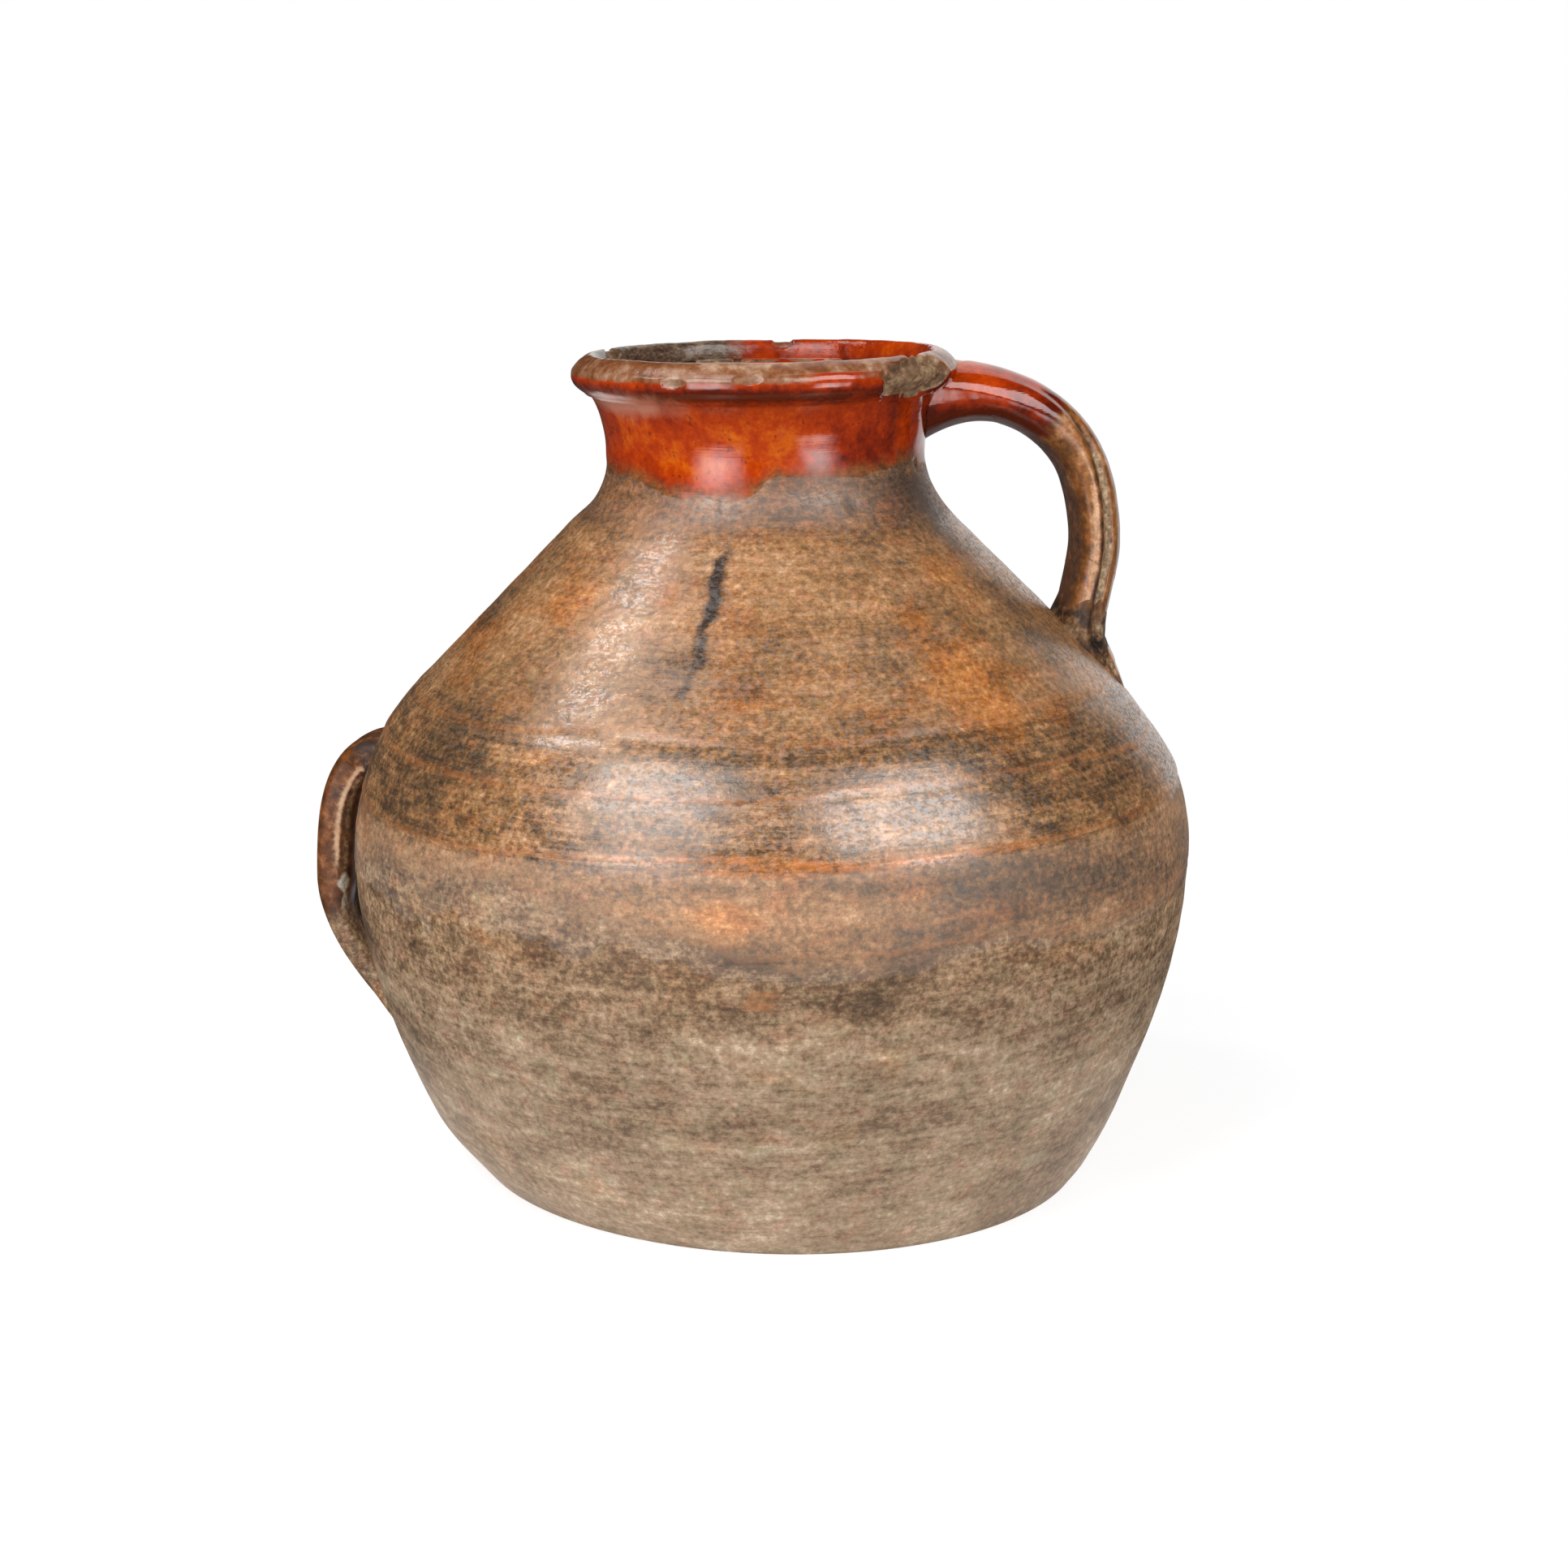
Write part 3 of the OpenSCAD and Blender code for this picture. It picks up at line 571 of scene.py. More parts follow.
paint(neck_glaze, **{k: np.vstack([v, v[::-1]]) for k, v in glaze_masks.items()})

# %% [markdown]
# The inside was lined by pouring glaze in and out again. Only the throat and a part of the
# wall can be seen, but the lining is whole, down to a pool on the floor.

# %% The lining
lining_at = on_axis(lining_under[:, :1], lining_under[:, 1:], azimuths)
lining_top = rise(lining_under[:, 1:] + 0.8 * lumps(lining_at, 6, 51), 254, 251.5)
lining_out = (0.5 + 0.15 * lumps(lining_at, 15, 52)) * lining_top - 0.25 * (1 - lining_top)
lining_face = stood(ring_grid(lining_under, lining_out, azimuths))
lining_back = stood(ring_grid(lining_under, -0.5, azimuths))
inside_glaze = skin("inside_glaze", "inside_glaze",
                    np.vstack([lining_face[::-1], lining_back]),
                    poles=[stood((0, 0, 12.5)), stood((0, 0, 11.5))])
dirty = rise(np.abs(turned(azimuths, 150)), 62, 38) + 0 * lining_out
paint(inside_glaze, lining=np.vstack([dirty[::-1], dirty]))

# %% [markdown]
# ## The straps
# A handle is pulled from a lump of wet clay: a thick strap, domed outside, with two grooves
# where the thumb ran down it, and flatter inside. It is a row of rings along a curve. The
# curve springs from the rim, bends over, lands on the shoulder and is smeared out on it. A
# curve object with a bevel would keep one section all along, and this one has to change.

# %% The section of a strap
STRAP_POINTS = 144
around = np.linspace(0, -2 * np.pi, STRAP_POINTS, endpoint=False)[None, :]
from_outside = np.abs(turned(np.degrees(around), 0))   # 0 on the outer face, 180 inside


def groove_shape(at):
    """1 in the two grooves, which lie this many degrees from the middle of the outer face."""
    return bell(from_outside, at, 11)


def strap_rows(line, half_w, out, back, groove, turn, groove_at=60, square=1.0):
    """Points in mm round a line of radius and height. Amounts are in mm, one a row.
    A lower number for square makes the section squarer."""
    way = np.gradient(line, axis=0)
    way /= np.linalg.norm(way, axis=1)[:, None]
    side = np.stack([-way[:, 1], way[:, 0]], -1)
    c, s = np.cos(around), np.sin(around)
    narrowed = 1 - groove * groove_shape(groove_at) / half_w
    across = half_w * np.sign(s) * np.abs(s) ** square * narrowed
    level = np.where(c > 0, out * np.abs(c) ** (0.95 * square),
                     -back * np.abs(c) ** (0.75 * square)) * narrowed
    r = line[:, :1] + side[:, :1] * level
    z = line[:, 1:] + side[:, 1:] * level
    a = np.radians(turn)
    return np.stack([r * np.cos(a) - across * np.sin(a), r * np.sin(a) + across * np.cos(a), z], -1)


def roughened(rows, amount, seed):
    """Pushes the points of a strap in and out at random, away from its middle."""
    middle = rows.mean(axis=1, keepdims=True)
    away = rows - middle
    away /= np.linalg.norm(away, axis=-1, keepdims=True) + 1e-9
    d = lumps(rows, 16, seed) + 0.2 * lumps(rows, 5, seed + 1) + 0.08 * lumps(rows, 2, seed + 2)
    return rows + away * (amount * d)[..., None]


# %% The line of the strap handle
ROOT_Z, BOW_Z, LAND_Z, TAIL_END = 247.8, 198, 166.5, 149.5
REACH = wall_r(LAND_Z) + 3.3
HANDLE_TURN = 4
LAST, TAIL_START = 34, 26


def real_wall_r(z, az):
    """The radius of the wall with its wobble, in one direction."""
    z = np.asarray(z, float)[:, None]
    az = np.full_like(z, az)
    return (wall_r(z) + wall_relief(az, z, on_axis(wall_r(z), z, az)))[:, 0]


def handle_point(i):
    """The middle of the strap, i being 0 at the rim, 26 where it lands and 34 at its end."""
    upper = cubic([47.8, ROOT_Z], [85.8, ROOT_Z], [REACH, 231], [REACH, BOW_Z], 160)
    tail_z = np.linspace(LAND_Z, TAIL_END, 81)
    sunk = 1.6 * np.linspace(0, 1, 81) ** 2
    tail = np.stack([real_wall_r(tail_z, HANDLE_TURN) - sunk, tail_z], -1)
    lower = cubic([REACH, BOW_Z], [REACH, 188], tail[0] - [1.4, -9], tail[0], 100)
    line = np.vstack([upper, lower[1:], tail[1:]])
    at = np.linspace(0, LAST, len(line))
    return np.stack([np.interp(i, at, line[:, k]) for k in (0, 1)], -1)


def per_row(value, i):
    return np.broadcast_to(value, i.shape)[:, None]


def groove_place(i):
    """The grooves start near the middle of the strap and run to its sides, in degrees."""
    return 38 + 36 * rise(i, 5, 16)[:, None]


def handle_rows(i, wider=0, outer=0, inner=0):
    near_root = np.clip(1 - i / 12, 0, 1) ** 2
    near_foot = np.clip(np.clip(1 - (TAIL_START - i) / 9, 0, None) ** 2, 0, 1)
    left = 1 - np.clip(i - TAIL_START, 0, None) / (LAST - TAIL_START)
    half_w = (28 + (near_root + near_foot) * 5) / 2 * np.sqrt(0.25 + 0.75 * left)
    thick = (15.6 + near_root * 0.8 - near_foot * 1.2) * (0.06 + 0.94 * left)
    groove = 2.3 * rise(i, 3, 12) * left
    return strap_rows(handle_point(i), per_row(half_w + wider, i),
                      per_row(thick * 0.52 + outer, i), per_row(thick * 0.48 + inner, i),
                      per_row(groove, i), HANDLE_TURN, groove_place(i))


def strap_masks(i):
    """Where the strap is worn on its ribs, where dirt lies in its grooves, its ridge, whose pale line is
    partly a painted highlight, and its inner side, darkened as painted shade.
    """
    at = groove_place(i)
    ribs = bell(from_outside, at - 24, 11) + bell(from_outside, at + 26, 12)
    # ridge lays a pale line along the rib beside each groove: partly wear, partly a painted highlight.
    return {"ridge": 0.6 * bell(from_outside, at + 24, 6) * rise(i, 9, 15)[:, None],
            "groove": bell(from_outside, at - 2, 11) * rise(i, 8, 13)[:, None],
            "crease": bell(from_outside, at + 11, 5) * rise(i, 8, 13)[:, None],
            # below darkens the inner side of the strap, which faces the wall: painted shade.
            "rib": ribs, "below": rise(from_outside, 112, 150) + 0 * i[:, None]}


steps = np.linspace(0, LAST, 260)
handle_mm = roughened(handle_rows(steps), 0.3, 61)
strap_handle = skin("strap_handle", "strap_handle", stood(handle_mm),
                    poles=[stood(handle_mm[0].mean(0)), stood(handle_mm[-1].mean(0))])
paint(strap_handle, foot=rise(steps[:, None], 21, 25) + 0 * around, **strap_masks(steps))

# %% [markdown]
# ## Clay at the joints
# Soft clay was pressed round both ends of each strap and smeared with the thumb, to fill the
# corner and hold the strap. Such clay is thick beside the wall and thins to nothing along
# the strap. It is a sleeve, like the coats of the wall: its face dips into the strap where
# the clay ends.

# %% Clay at the two ends of the strap handle
def sleeve(name, node, face_mm, back_mm):
    return skin(name, node, np.vstack([stood(face_mm), stood(back_mm)[::-1]]))


def root_clay_face(i):
    grown = np.clip(1 - i / 7, 0, 1) ** 3
    return roughened(handle_rows(i, -0.4 + 1.6 * grown, -0.4 + 0.9 * grown,
                                 -0.4 + 10 * grown), 0.3, 61)


root_i = np.linspace(0, 7, 80)
handle_root_clay = sleeve("handle_root_clay", "handle_root_clay",
                          root_clay_face(root_i), handle_rows(root_i, -1, -1, -1))
foot_i = np.linspace(20.8, 31, 120)
foot_grown = np.sin(np.pi * (foot_i - 20.8) / 10.2)
foot_face = roughened(handle_rows(foot_i, -0.5 + 1.9 * foot_grown, -0.5 + 1.2 * foot_grown,
                                  -0.5 + 4.4 * foot_grown**2), 0.9, 84)
handle_foot_clay = sleeve("handle_foot_clay", "handle_foot_clay",
                          foot_face, handle_rows(foot_i, -1, -1, -1))
foot_at = foot_i[:, None] + 0.8 * lumps(foot_face, 7, 85)
foot_masks = {"blend": rise(foot_at, 23.2, 21.4), "crease": 0.7 * bell(foot_at, 23.2, 0.3) + 0.5 * bell(foot_at, 26.3, 0.8),
              "pale": bell(foot_at, 24.8, 0.7) * bell(turned(np.degrees(-around), 120), 0, 22)}
paint(handle_foot_clay, **{k: np.vstack([v, v[::-1]]) for k, v in foot_masks.items()})

# %% [markdown]
# The red glaze ran over the clay at the root and the upper half of the handle when the neck
# was dipped. It ends raggedly, and is worn from the ribs first. On top, beside the lip, a
# piece of it has broken away with the clay under it.

# %% The glaze on the handle
GLAZE_LOW = 19.5
glazed = np.linspace(0.2, GLAZE_LOW, 210)
glaze_base = roughened(handle_rows(glazed), 0.3, 61)
over_clay = root_clay_face(glazed)
middle = glaze_base.mean(axis=1, keepdims=True)
higher = (np.linalg.norm(over_clay - middle, axis=-1)
          > np.linalg.norm(glaze_base - middle, axis=-1))[..., None]
glaze_base = np.where(higher, over_clay, glaze_base)
from_middle = glaze_base - middle
from_middle /= np.linalg.norm(from_middle, axis=-1, keepdims=True)
ragged = glazed[:, None] + 1.6 * lumps(glaze_base, 12, 71) + 0.7 * lumps(glaze_base, 4, 72)
knocked = rise(np.hypot((glazed[:, None] - 1.6) / 1.5, turned(np.degrees(-around), -60) / 75)
               + 0.25 * lumps(glaze_base, 5, 74), 1.0, 0.8)
glaze_high = 0.1 + 0.35 * rise(ragged, 14, 9) + 0.05 * lumps(glaze_base, 8, 73)
thumbed = np.degrees(-around)
glaze_high = glaze_high + 0.35 * bell(glazed[:, None], 4.6, 2.6) * (
    bell(thumbed, 50, 9) + bell(thumbed, 92, 9))
glaze_high = np.where(ragged > GLAZE_LOW - 1.5, -0.25, glaze_high)
glaze_high = glaze_high * (1 - knocked) - 0.35 * knocked
handle_glaze = sleeve("handle_glaze", "handle_glaze",
                      glaze_base + from_middle * glaze_high[..., None],
                      glaze_base - from_middle * 0.5)
on_ribs = strap_masks(glazed)
handle_masks = {**on_ribs, "bare": rise(ragged, 6.6, 9.8),
                # On the handle the first term darkens the glaze on the strap's inner side, which is painted
                # shade; the second darkens it further down the handle, where it pooled.
                "pooled_and_shaded": rise(from_outside, 92, 124) + rise(ragged, 4, 9)}
paint(handle_glaze, **{k: np.vstack([v, v[::-1]]) for k, v in handle_masks.items()})

# %% [markdown]
# ## The tipping handle
# A short strap stands upright on the belly, on the other side, to lift the jug by when it is
# tipped. It springs from the wall, turns down and is smeared out on the flank.

# %% The tipping handle
LUG_TOP, LUG_BOW, LUG_LOW = np.array([wall_r(131), 131]), np.array([148.25, 88]), 40
LUG_TURN = 180 - 9.5
LUG_LAST = 24


def lug_point(i):
    low = np.array([wall_r(LUG_LOW), LUG_LOW])
    upper = cubic(LUG_TOP - [10, 3], LUG_TOP + [11, 9], [147.25, 121], LUG_BOW, 100)
    lower = cubic(LUG_BOW, LUG_BOW - [0, 16], low + [15.5, 15], low - 1.5, 140)
    line = np.vstack([upper, lower[1:]])
    at = np.linspace(0, LUG_LAST, len(line))
    return np.stack([np.interp(i, at, line[:, k]) for k in (0, 1)], -1)


def lug_rows(i, wider=0, outer=0, inner=0):
    half_w = (26 + np.abs(2 * i / LUG_LAST - 1) ** 3 * 5) / 2
    return strap_rows(lug_point(i), per_row(half_w + wider, i), per_row(4.2 + outer, i),
                      per_row(8 - 3.4 * rise(i, 10.5, 14.5) + inner, i), per_row(0.0, i), LUG_TURN,
                      square=0.62)


lug_i = np.linspace(0, LUG_LAST, 220)
lug_mm = roughened(lug_rows(lug_i), 0.25, 91)
tipping_handle = skin("tipping_handle", "tipping_handle", stood(lug_mm),
                      poles=[stood(lug_mm[0].mean(0)), stood(lug_mm[-1].mean(0))])
lug_at = lug_i[:, None]
lug_turn = np.degrees(-around)
chip = bell(lug_turn, 242, 22) * bell(lug_at, 10.4, 0.9)
chip = chip + 0.6 * bell(lug_turn, 232, 14) * bell(lug_at, 12.4, 1.7)
paint(tipping_handle, amber=0.9 + 0 * lug_at + 0 * around, crease=0.2 + bell(lug_turn, 300, 14) * bell(lug_at, 11.5, 0.4),
      # ridge lays a pale line along the edge of the tipping handle: partly wear, partly a painted highlight.
      ridge=(0.5 + 0.5 * lumps(lug_mm, 9, 96)) * bell(lug_turn + 4 * lumps(lug_mm, 12, 98), 254, 7)
      * rise(lug_at, 12, 9.5),
      # The tipping handle has no groove: the strip near 230 degrees gets the pale colour of a lit inner
      # edge, which is painted light; the second term lays the same colour over the lower part.
      groove=0.65 * bell(lug_turn, 230, 14) + 0.55 * rise(lug_at, 12, 14),
      pale=rise(chip + 0.4 * lumps(lug_mm, 3.5, 95), 0.35, 0.75),
      # below darkens the innermost side of the tipping handle, in the gap by the wall: painted shade.
      below=rise(from_outside, 164, 176) + 0 * lug_at)
top_i = np.linspace(0, 6, 70)
top_grown = (1 - top_i / 6) ** 2
tipping_top_clay = sleeve(
    "tipping_top_clay", "tipping_top_clay",
    roughened(lug_rows(top_i, -0.5 + 4.4 * top_grown, -0.5 + top_grown,
                       -0.5 + 9 * top_grown), 0.3, 94), lug_rows(top_i, -1, -1, -1))
top_at = top_i[:, None]
top_masks = {"amber": 0.9 + 0 * top_at + 0 * around, "crease": bell(top_at, 2.4, 0.9) + 0 * around,
             # ridge lays a pale line along the edge of this clay: partly wear, partly a painted highlight.
             "ridge": 0.7 * bell(lug_turn, 256, 8) * rise(top_at, 2.6, 3.6),
             # below darkens the underside of the clay at the top of the tipping handle: painted shade.
             "below": rise(from_outside, 108, 125) + 0 * top_at}
paint(tipping_top_clay, **{k: np.vstack([v, v[::-1]]) for k, v in top_masks.items()})
low_i = np.linspace(LUG_LAST - 6, LUG_LAST, 70)
low_grown = ((low_i - LUG_LAST + 6) / 6) ** 2
tipping_foot_clay = sleeve(
    "tipping_foot_clay", "tipping_foot_clay",
    roughened(lug_rows(low_i, -0.5 + 4.4 * low_grown, -0.5 + low_grown,
                       -0.5 + 12 * low_grown), 0.3, 97), lug_rows(low_i, -1, -1, -1))
low_at = low_i[:, None] + 0.5 * lumps(lug_rows(low_i), 8, 99)
low_masks = {"blend": 1 + 0 * low_at, "groove": 0.55 + 0 * low_at, "crease": rise(low_at, 22.6, 23.8)}
paint(tipping_foot_clay, **{k: np.vstack([v, v[::-1]]) for k, v in low_masks.items()})

# %% [markdown]
# ## Finishes
# Every finish is a tree of shader nodes: noise of several sizes for the stains, the specks
# and the wheel lines, mixed into colour, gloss and small bumps. Colours are written as they
# are picked on a screen and turned into the linear values that the shader wants.

# %% A small kit for finishes
def tone(r, g, b):
    c = np.array([r, g, b]) / 255
    return (*np.where(c < 0.04045, c / 12.92, ((c + 0.055) / 1.055) ** 2.4), 1)


class Finish:
    """A material that is built up step by step."""

    def __init__(self, name):
        self.material = bpy.data.materials.new(name)
        self.material.use_nodes = True
        self.tree = self.material.node_tree
        self.tree.nodes.clear()
        place = self.add("TexCoord").outputs["Object"]
        self.place = self.add("Mapping", {"Vector": place, "Rotation": (0, LEAN, 0)}).outputs[0]

    def add(self, kind, inputs=(), **settings):
        made = self.tree.nodes.new("ShaderNode" + kind)
        for key, value in settings.items():
            setattr(made, key, value)
        for key, value in dict(inputs).items():
            if isinstance(value, bpy.types.NodeSocket):
                self.tree.links.new(value, made.inputs[key])
            else:
                made.inputs[key].default_value = value
        return made

    def noise(self, size, detail=3, rough=0.55, flat=1, shift=0.0, twist=0.0):
        """Noise in spots of this size in mm. flat squeezes them into level streaks."""
        at = self.add("Mapping", {"Vector": self.place, "Location": (shift, shift, shift),
                                  "Scale": (1, 1, flat)}).outputs[0]
        return self.add("TexNoise", {"Vector": at, "Scale": 1000 / size, "Detail": detail,
                                     "Roughness": rough, "Distortion": twist}).outputs["Fac"]

    def math(self, what, a, b=0.5):
        return self.add("Math", {0: a, 1: b}, operation=what).outputs[0]

    def sum(self, start, *parts):
        """start, plus each value times its weight."""
        total = start
        for value, weight in parts:
            total = self.add("Math", {0: value, 1: weight, 2: total},
                             operation="MULTIPLY_ADD").outputs[0]
        return total

    def between(self, value, low, high, to_low=0.0, to_high=1.0):
        return self.add("MapRange", {"Value": value, "From Min": low, "From Max": high,
                                     "To Min": to_low, "To Max": to_high},
                        interpolation_type="SMOOTHSTEP").outputs["Result"]

    def mixed(self, share, a, b, how="MIX"):
        made = self.add("Mix", {"Factor": share}, data_type="RGBA", blend_type=how)
        for key, value in ((6, a), (7, b)):
            if isinstance(value, bpy.types.NodeSocket):
                self.tree.links.new(value, made.inputs[key])
            else:
                made.inputs[key].default_value = value
        return made.outputs[2]

    def ramp(self, value, *stops):
        """Colours from dark to light, each with the value that it stands at."""
        made = self.add("ValToRGB", {"Fac": value})
        elements = made.color_ramp.elements
        for k, (at, colour) in enumerate(stops):
            element = elements[k] if k < 2 else elements.new(at)
            element.position, element.color = at, colour
        return made.outputs[0]

    def laid(self, base, colour, share, noise=None, hard=0.5):
        """Lays a colour over a base by a share from 0 to 1, broken up by a noise."""
        if noise is not None:
            share = self.between(self.sum(share, (noise, 1.0)), 1 - hard, 1 + hard)
        return self.mixed(share, base, colour)

    def mask(self, name):
        return self.add("Attribute", attribute_name=name).outputs["Fac"]

    def bump(self, height, deep, normal=None):
        """Small bumps, deep being their height in mm."""
        inputs = {"Height": height, "Distance": deep / 1000, "Strength": 1.0}
        if normal is not None:
            inputs["Normal"] = normal
        return self.add("Bump", inputs).outputs["Normal"]

    def done(self, colour, roughness, normal, ior=1.5):
        shader = self.add("BsdfPrincipled", {"Base Color": colour, "Roughness": roughness,
                                             "Normal": normal, "IOR": ior})
        out = self.add("OutputMaterial")
        self.tree.links.new(shader.outputs[0], out.inputs["Surface"])
        return self.material


# %% [markdown]
# ### Looks that are shared
# The coats don't end in a line: the slip thins out over the clay, and the glaze over the
# slip. So a coat must be able to show what lies under it. Each look is a function that adds
# its nodes to any finish, at the same place on the jug, and the two sides of an edge match.

# %% The look of the clay, the slip, the worn lip and the glaze
def fine_tints(f, base, size=5):
    """Shifts a colour a little to pink here and to green there, in spots of a few mm."""
    pink = f.between(f.noise(size, 4, 0.7, flat=1.3, shift=2.2), 0.5, 0.68, 0, 0.7)
    green = f.between(f.noise(size * 1.3, 4, 0.7, flat=1.6, shift=2.9), 0.5, 0.68, 0, 0.65)
    base = f.mixed(pink, base, (1.12, 0.9, 0.88, 1), "MULTIPLY")
    return f.mixed(green, base, (0.84, 0.98, 0.9, 1), "MULTIPLY")


def grains(f, shift):
    """Clouds, blots, level streaks and grains, each about 0 in the mean."""
    return [f.math("SUBTRACT", n) for n in (
        f.noise(38, 4, 0.6, flat=1.6, shift=shift), f.noise(13, 5, 0.66, flat=2.6, shift=shift + 1),
        f.noise(50, 5, 0.85, flat=34, shift=shift + 2),
        f.noise(2.2, 3, 0.75, flat=1.1, shift=shift + 3))]


def clay_look(f):
    cloud, blot, streak, grain = grains(f, 0.4)
    light = f.sum(0.53, (cloud, 0.95), (blot, 0.85), (streak, 0.55), (grain, 1.1),
                  (f.math("MULTIPLY", f.mask("high"), grain), 0.4),
                  (f.mask("dark"), -0.36), (f.mask("high"), -0.18), (f.mask("foot"), 0.07))
    base = f.ramp(light, (0.0, tone(76, 56, 38)), (0.28, tone(116, 90, 64)),
                  (0.5, tone(154, 127, 98)), (0.74, tone(184, 158, 130)), (1.0, tone(230, 212, 184)))
    amber = f.between(f.sum(-0.56, (f.noise(30, 4, 0.62, flat=2, shift=5.9), 1.0),
                            (f.mask("high"), 0.1)), 0.0, 0.2, 0, 0.7)
    base = f.mixed(amber, base, (1.08, 0.88, 0.64, 1), "MULTIPLY")
    base = f.mixed(f.mask("high"), base, (1.02, 0.93, 0.82, 1), "MULTIPLY")
    base = f.laid(base, tone(150, 142, 116), f.mask("green"), blot, 0.3)
    base = f.laid(base, tone(174, 132, 106), f.mask("pink"), blot, 0.3)
    base = f.laid(base, tone(176, 112, 62), f.mask("orange"), blot, 0.2)
    base = f.laid(base, tone(190, 176, 150), f.mask("pale"), grain, 0.2)
    return fine_tints(f, base, 7), streak, grain


def slip_look(f):
    cloud, blot, streak, grain = grains(f, 4.1)
    on_belly = [(f.math("MULTIPLY", f.mask("belly"), part), weight)
                for part, weight in ((grain, 0.25), (blot, 0.5), (streak, 0.5))]
    light = f.sum(0.53, (cloud, 0.75), (blot, 0.6), (streak, 0.35), (grain, 1.25), *on_belly,
                  (f.mask("dark"), -0.38), (f.mask("root"), -0.18), (f.mask("orange"), 0.08),
                  (f.mask("belly"), -0.11))
    base = f.ramp(light, (0.0, tone(70, 52, 36)), (0.25, tone(102, 74, 47)),
                  (0.5, tone(146, 103, 62)), (0.74, tone(182, 135, 92)), (1.0, tone(224, 188, 152)))
    base = f.mixed(f.mask("root"), base, (0.94, 0.79, 0.6, 1), "MULTIPLY")
    orange = f.between(f.sum(-0.5, (f.noise(24, 4, 0.6, flat=1.3, shift=7.9), 1.0),
                             (f.mask("orange"), 0.55)), 0.0, 0.34)
    base = f.mixed(orange, base, (1.08, 0.79, 0.43, 1), "MULTIPLY")
    base = f.laid(base, tone(128, 122, 98), f.mask("green"), blot, 0.25)
    base = f.laid(base, tone(206, 178, 140), f.mask("pale"), grain, 0.2)
    return fine_tints(f, base), streak, grain


def lip_look(f):
    blot = f.noise(9, 4, 0.6, shift=1.4)
    grain = f.noise(2.5, 3, 0.6, shift=1.9)
    value = f.sum(-0.36, (blot, 1.1), (grain, 0.6), (f.mask("brown"), -0.08))
    return f.ramp(value, (0.2, tone(88, 46, 22)), (0.42, tone(126, 74, 40)),
                  (0.56, tone(144, 102, 74)), (0.8, tone(190, 158, 132)))


def glaze_look(f):
    cloud = f.noise(22, 4, 0.6, shift=7.7)
    blot = f.noise(6, 4, 0.65, shift=7.1)
    value = f.sum(-0.57, (cloud, 0.85), (blot, 0.75), (f.noise(1.8, 3, 0.7, shift=6.3), 0.45),
                  (f.mask("thin"), 0.24), (f.mask("pooled_and_shaded"), -0.42))
    base = f.ramp(value, (0.1, tone(88, 22, 6)), (0.36, tone(148, 42, 4)), (0.56, tone(180, 59, 2)),
                  (0.85, tone(210, 104, 16)))
    dirt = f.ramp(f.noise(3, 4, 0.75, flat=2, shift=8.6), (0.32, tone(56, 40, 32)),
                  (0.5, tone(94, 74, 58)), (0.68, tone(140, 120, 100)))
    base = f.laid(base, dirt, f.mask("lining"), blot, 0.4)
    specks = f.between(f.noise(2.4, 3, 0.65, shift=8.3), 0.6, 0.7, 0, 0.6)
    return f.mixed(specks, base, tone(74, 28, 10))


def strap_look(f):
    cloud = f.noise(16, 4, 0.62, shift=3.3)
    blot = f.noise(5, 4, 0.66, shift=3.6)
    speck = f.noise(1.8, 3, 0.75, shift=3.8)
    # The below mask darkens the inner sides of the straps: painted shade.
    value = f.sum(-0.74, (cloud, 0.8), (blot, 1.0), (speck, 0.6), (f.mask("rib"), 0.14),
                  (f.mask("foot"), 0.06), (f.mask("crease"), -0.36), (f.mask("below"), -0.2))
    base = f.ramp(value, (0.08, tone(50, 28, 14)), (0.36, tone(104, 62, 24)),
                  (0.6, tone(154, 96, 46)), (0.92, tone(206, 156, 106)))
    base = f.mixed(f.mask("amber"), base, (0.86, 0.68, 0.34, 1), "MULTIPLY")
    # The ridge mask lays a pale line that is partly wear and partly a painted highlight.
    base = f.laid(base, tone(222, 180, 142), f.mask("ridge"), speck, 0.4)
    # The groove mask lays a pale dusty colour: dirt in the grooves of the strap handle, and on the tipping
    # handle painted light on its inner edge.
    dusty = f.ramp(speck, (0.32, tone(84, 62, 42)), (0.5, tone(144, 114, 82)),
                   (0.66, tone(200, 174, 138)))
    base = f.laid(base, dusty, f.mask("groove"), blot, 0.35)
    chipped_off = f.ramp(speck, (0.34, tone(138, 124, 102)), (0.5, tone(178, 170, 152)),
                         (0.66, tone(208, 204, 192)))
    base = f.laid(base, chipped_off, f.mask("pale"), blot, 0.5)
    return fine_tints(f, base, 4)


# %% [markdown]
# ### Bare clay
# Below the slip the jug is bare: a red clay that has gone beige and grey with use. The lip
# is the same clay, rubbed smooth and brown, and fresh where it is chipped. Its inner side
# keeps the glaze of the lining.

# %% Bare clay
clay = Finish("bare_clay")
base, streak, grain = clay_look(clay)
base = clay.mixed(clay.mask("rim"), base, lip_look(clay))
base = clay.mixed(clay.mask("lined"), base, glaze_look(clay))
fresh = clay.ramp(clay.noise(5, 4, 0.7, shift=5.5), (0.3, tone(62, 40, 24)),
                  (0.5, tone(116, 82, 52)), (0.72, tone(170, 144, 108)))
base = clay.mixed(clay.mask("broken"), base, fresh)
gloss = clay.sum(0.55, (clay.mask("rim"), -0.3), (clay.mask("lined"), -0.12),
                 (clay.mask("broken"), 0.35), (grain, 0.3))
clay_bump = clay.bump(streak, 0.1, clay.bump(grain, 0.11))
bare_clay = clay.done(base, gloss, clay_bump, 1.5)

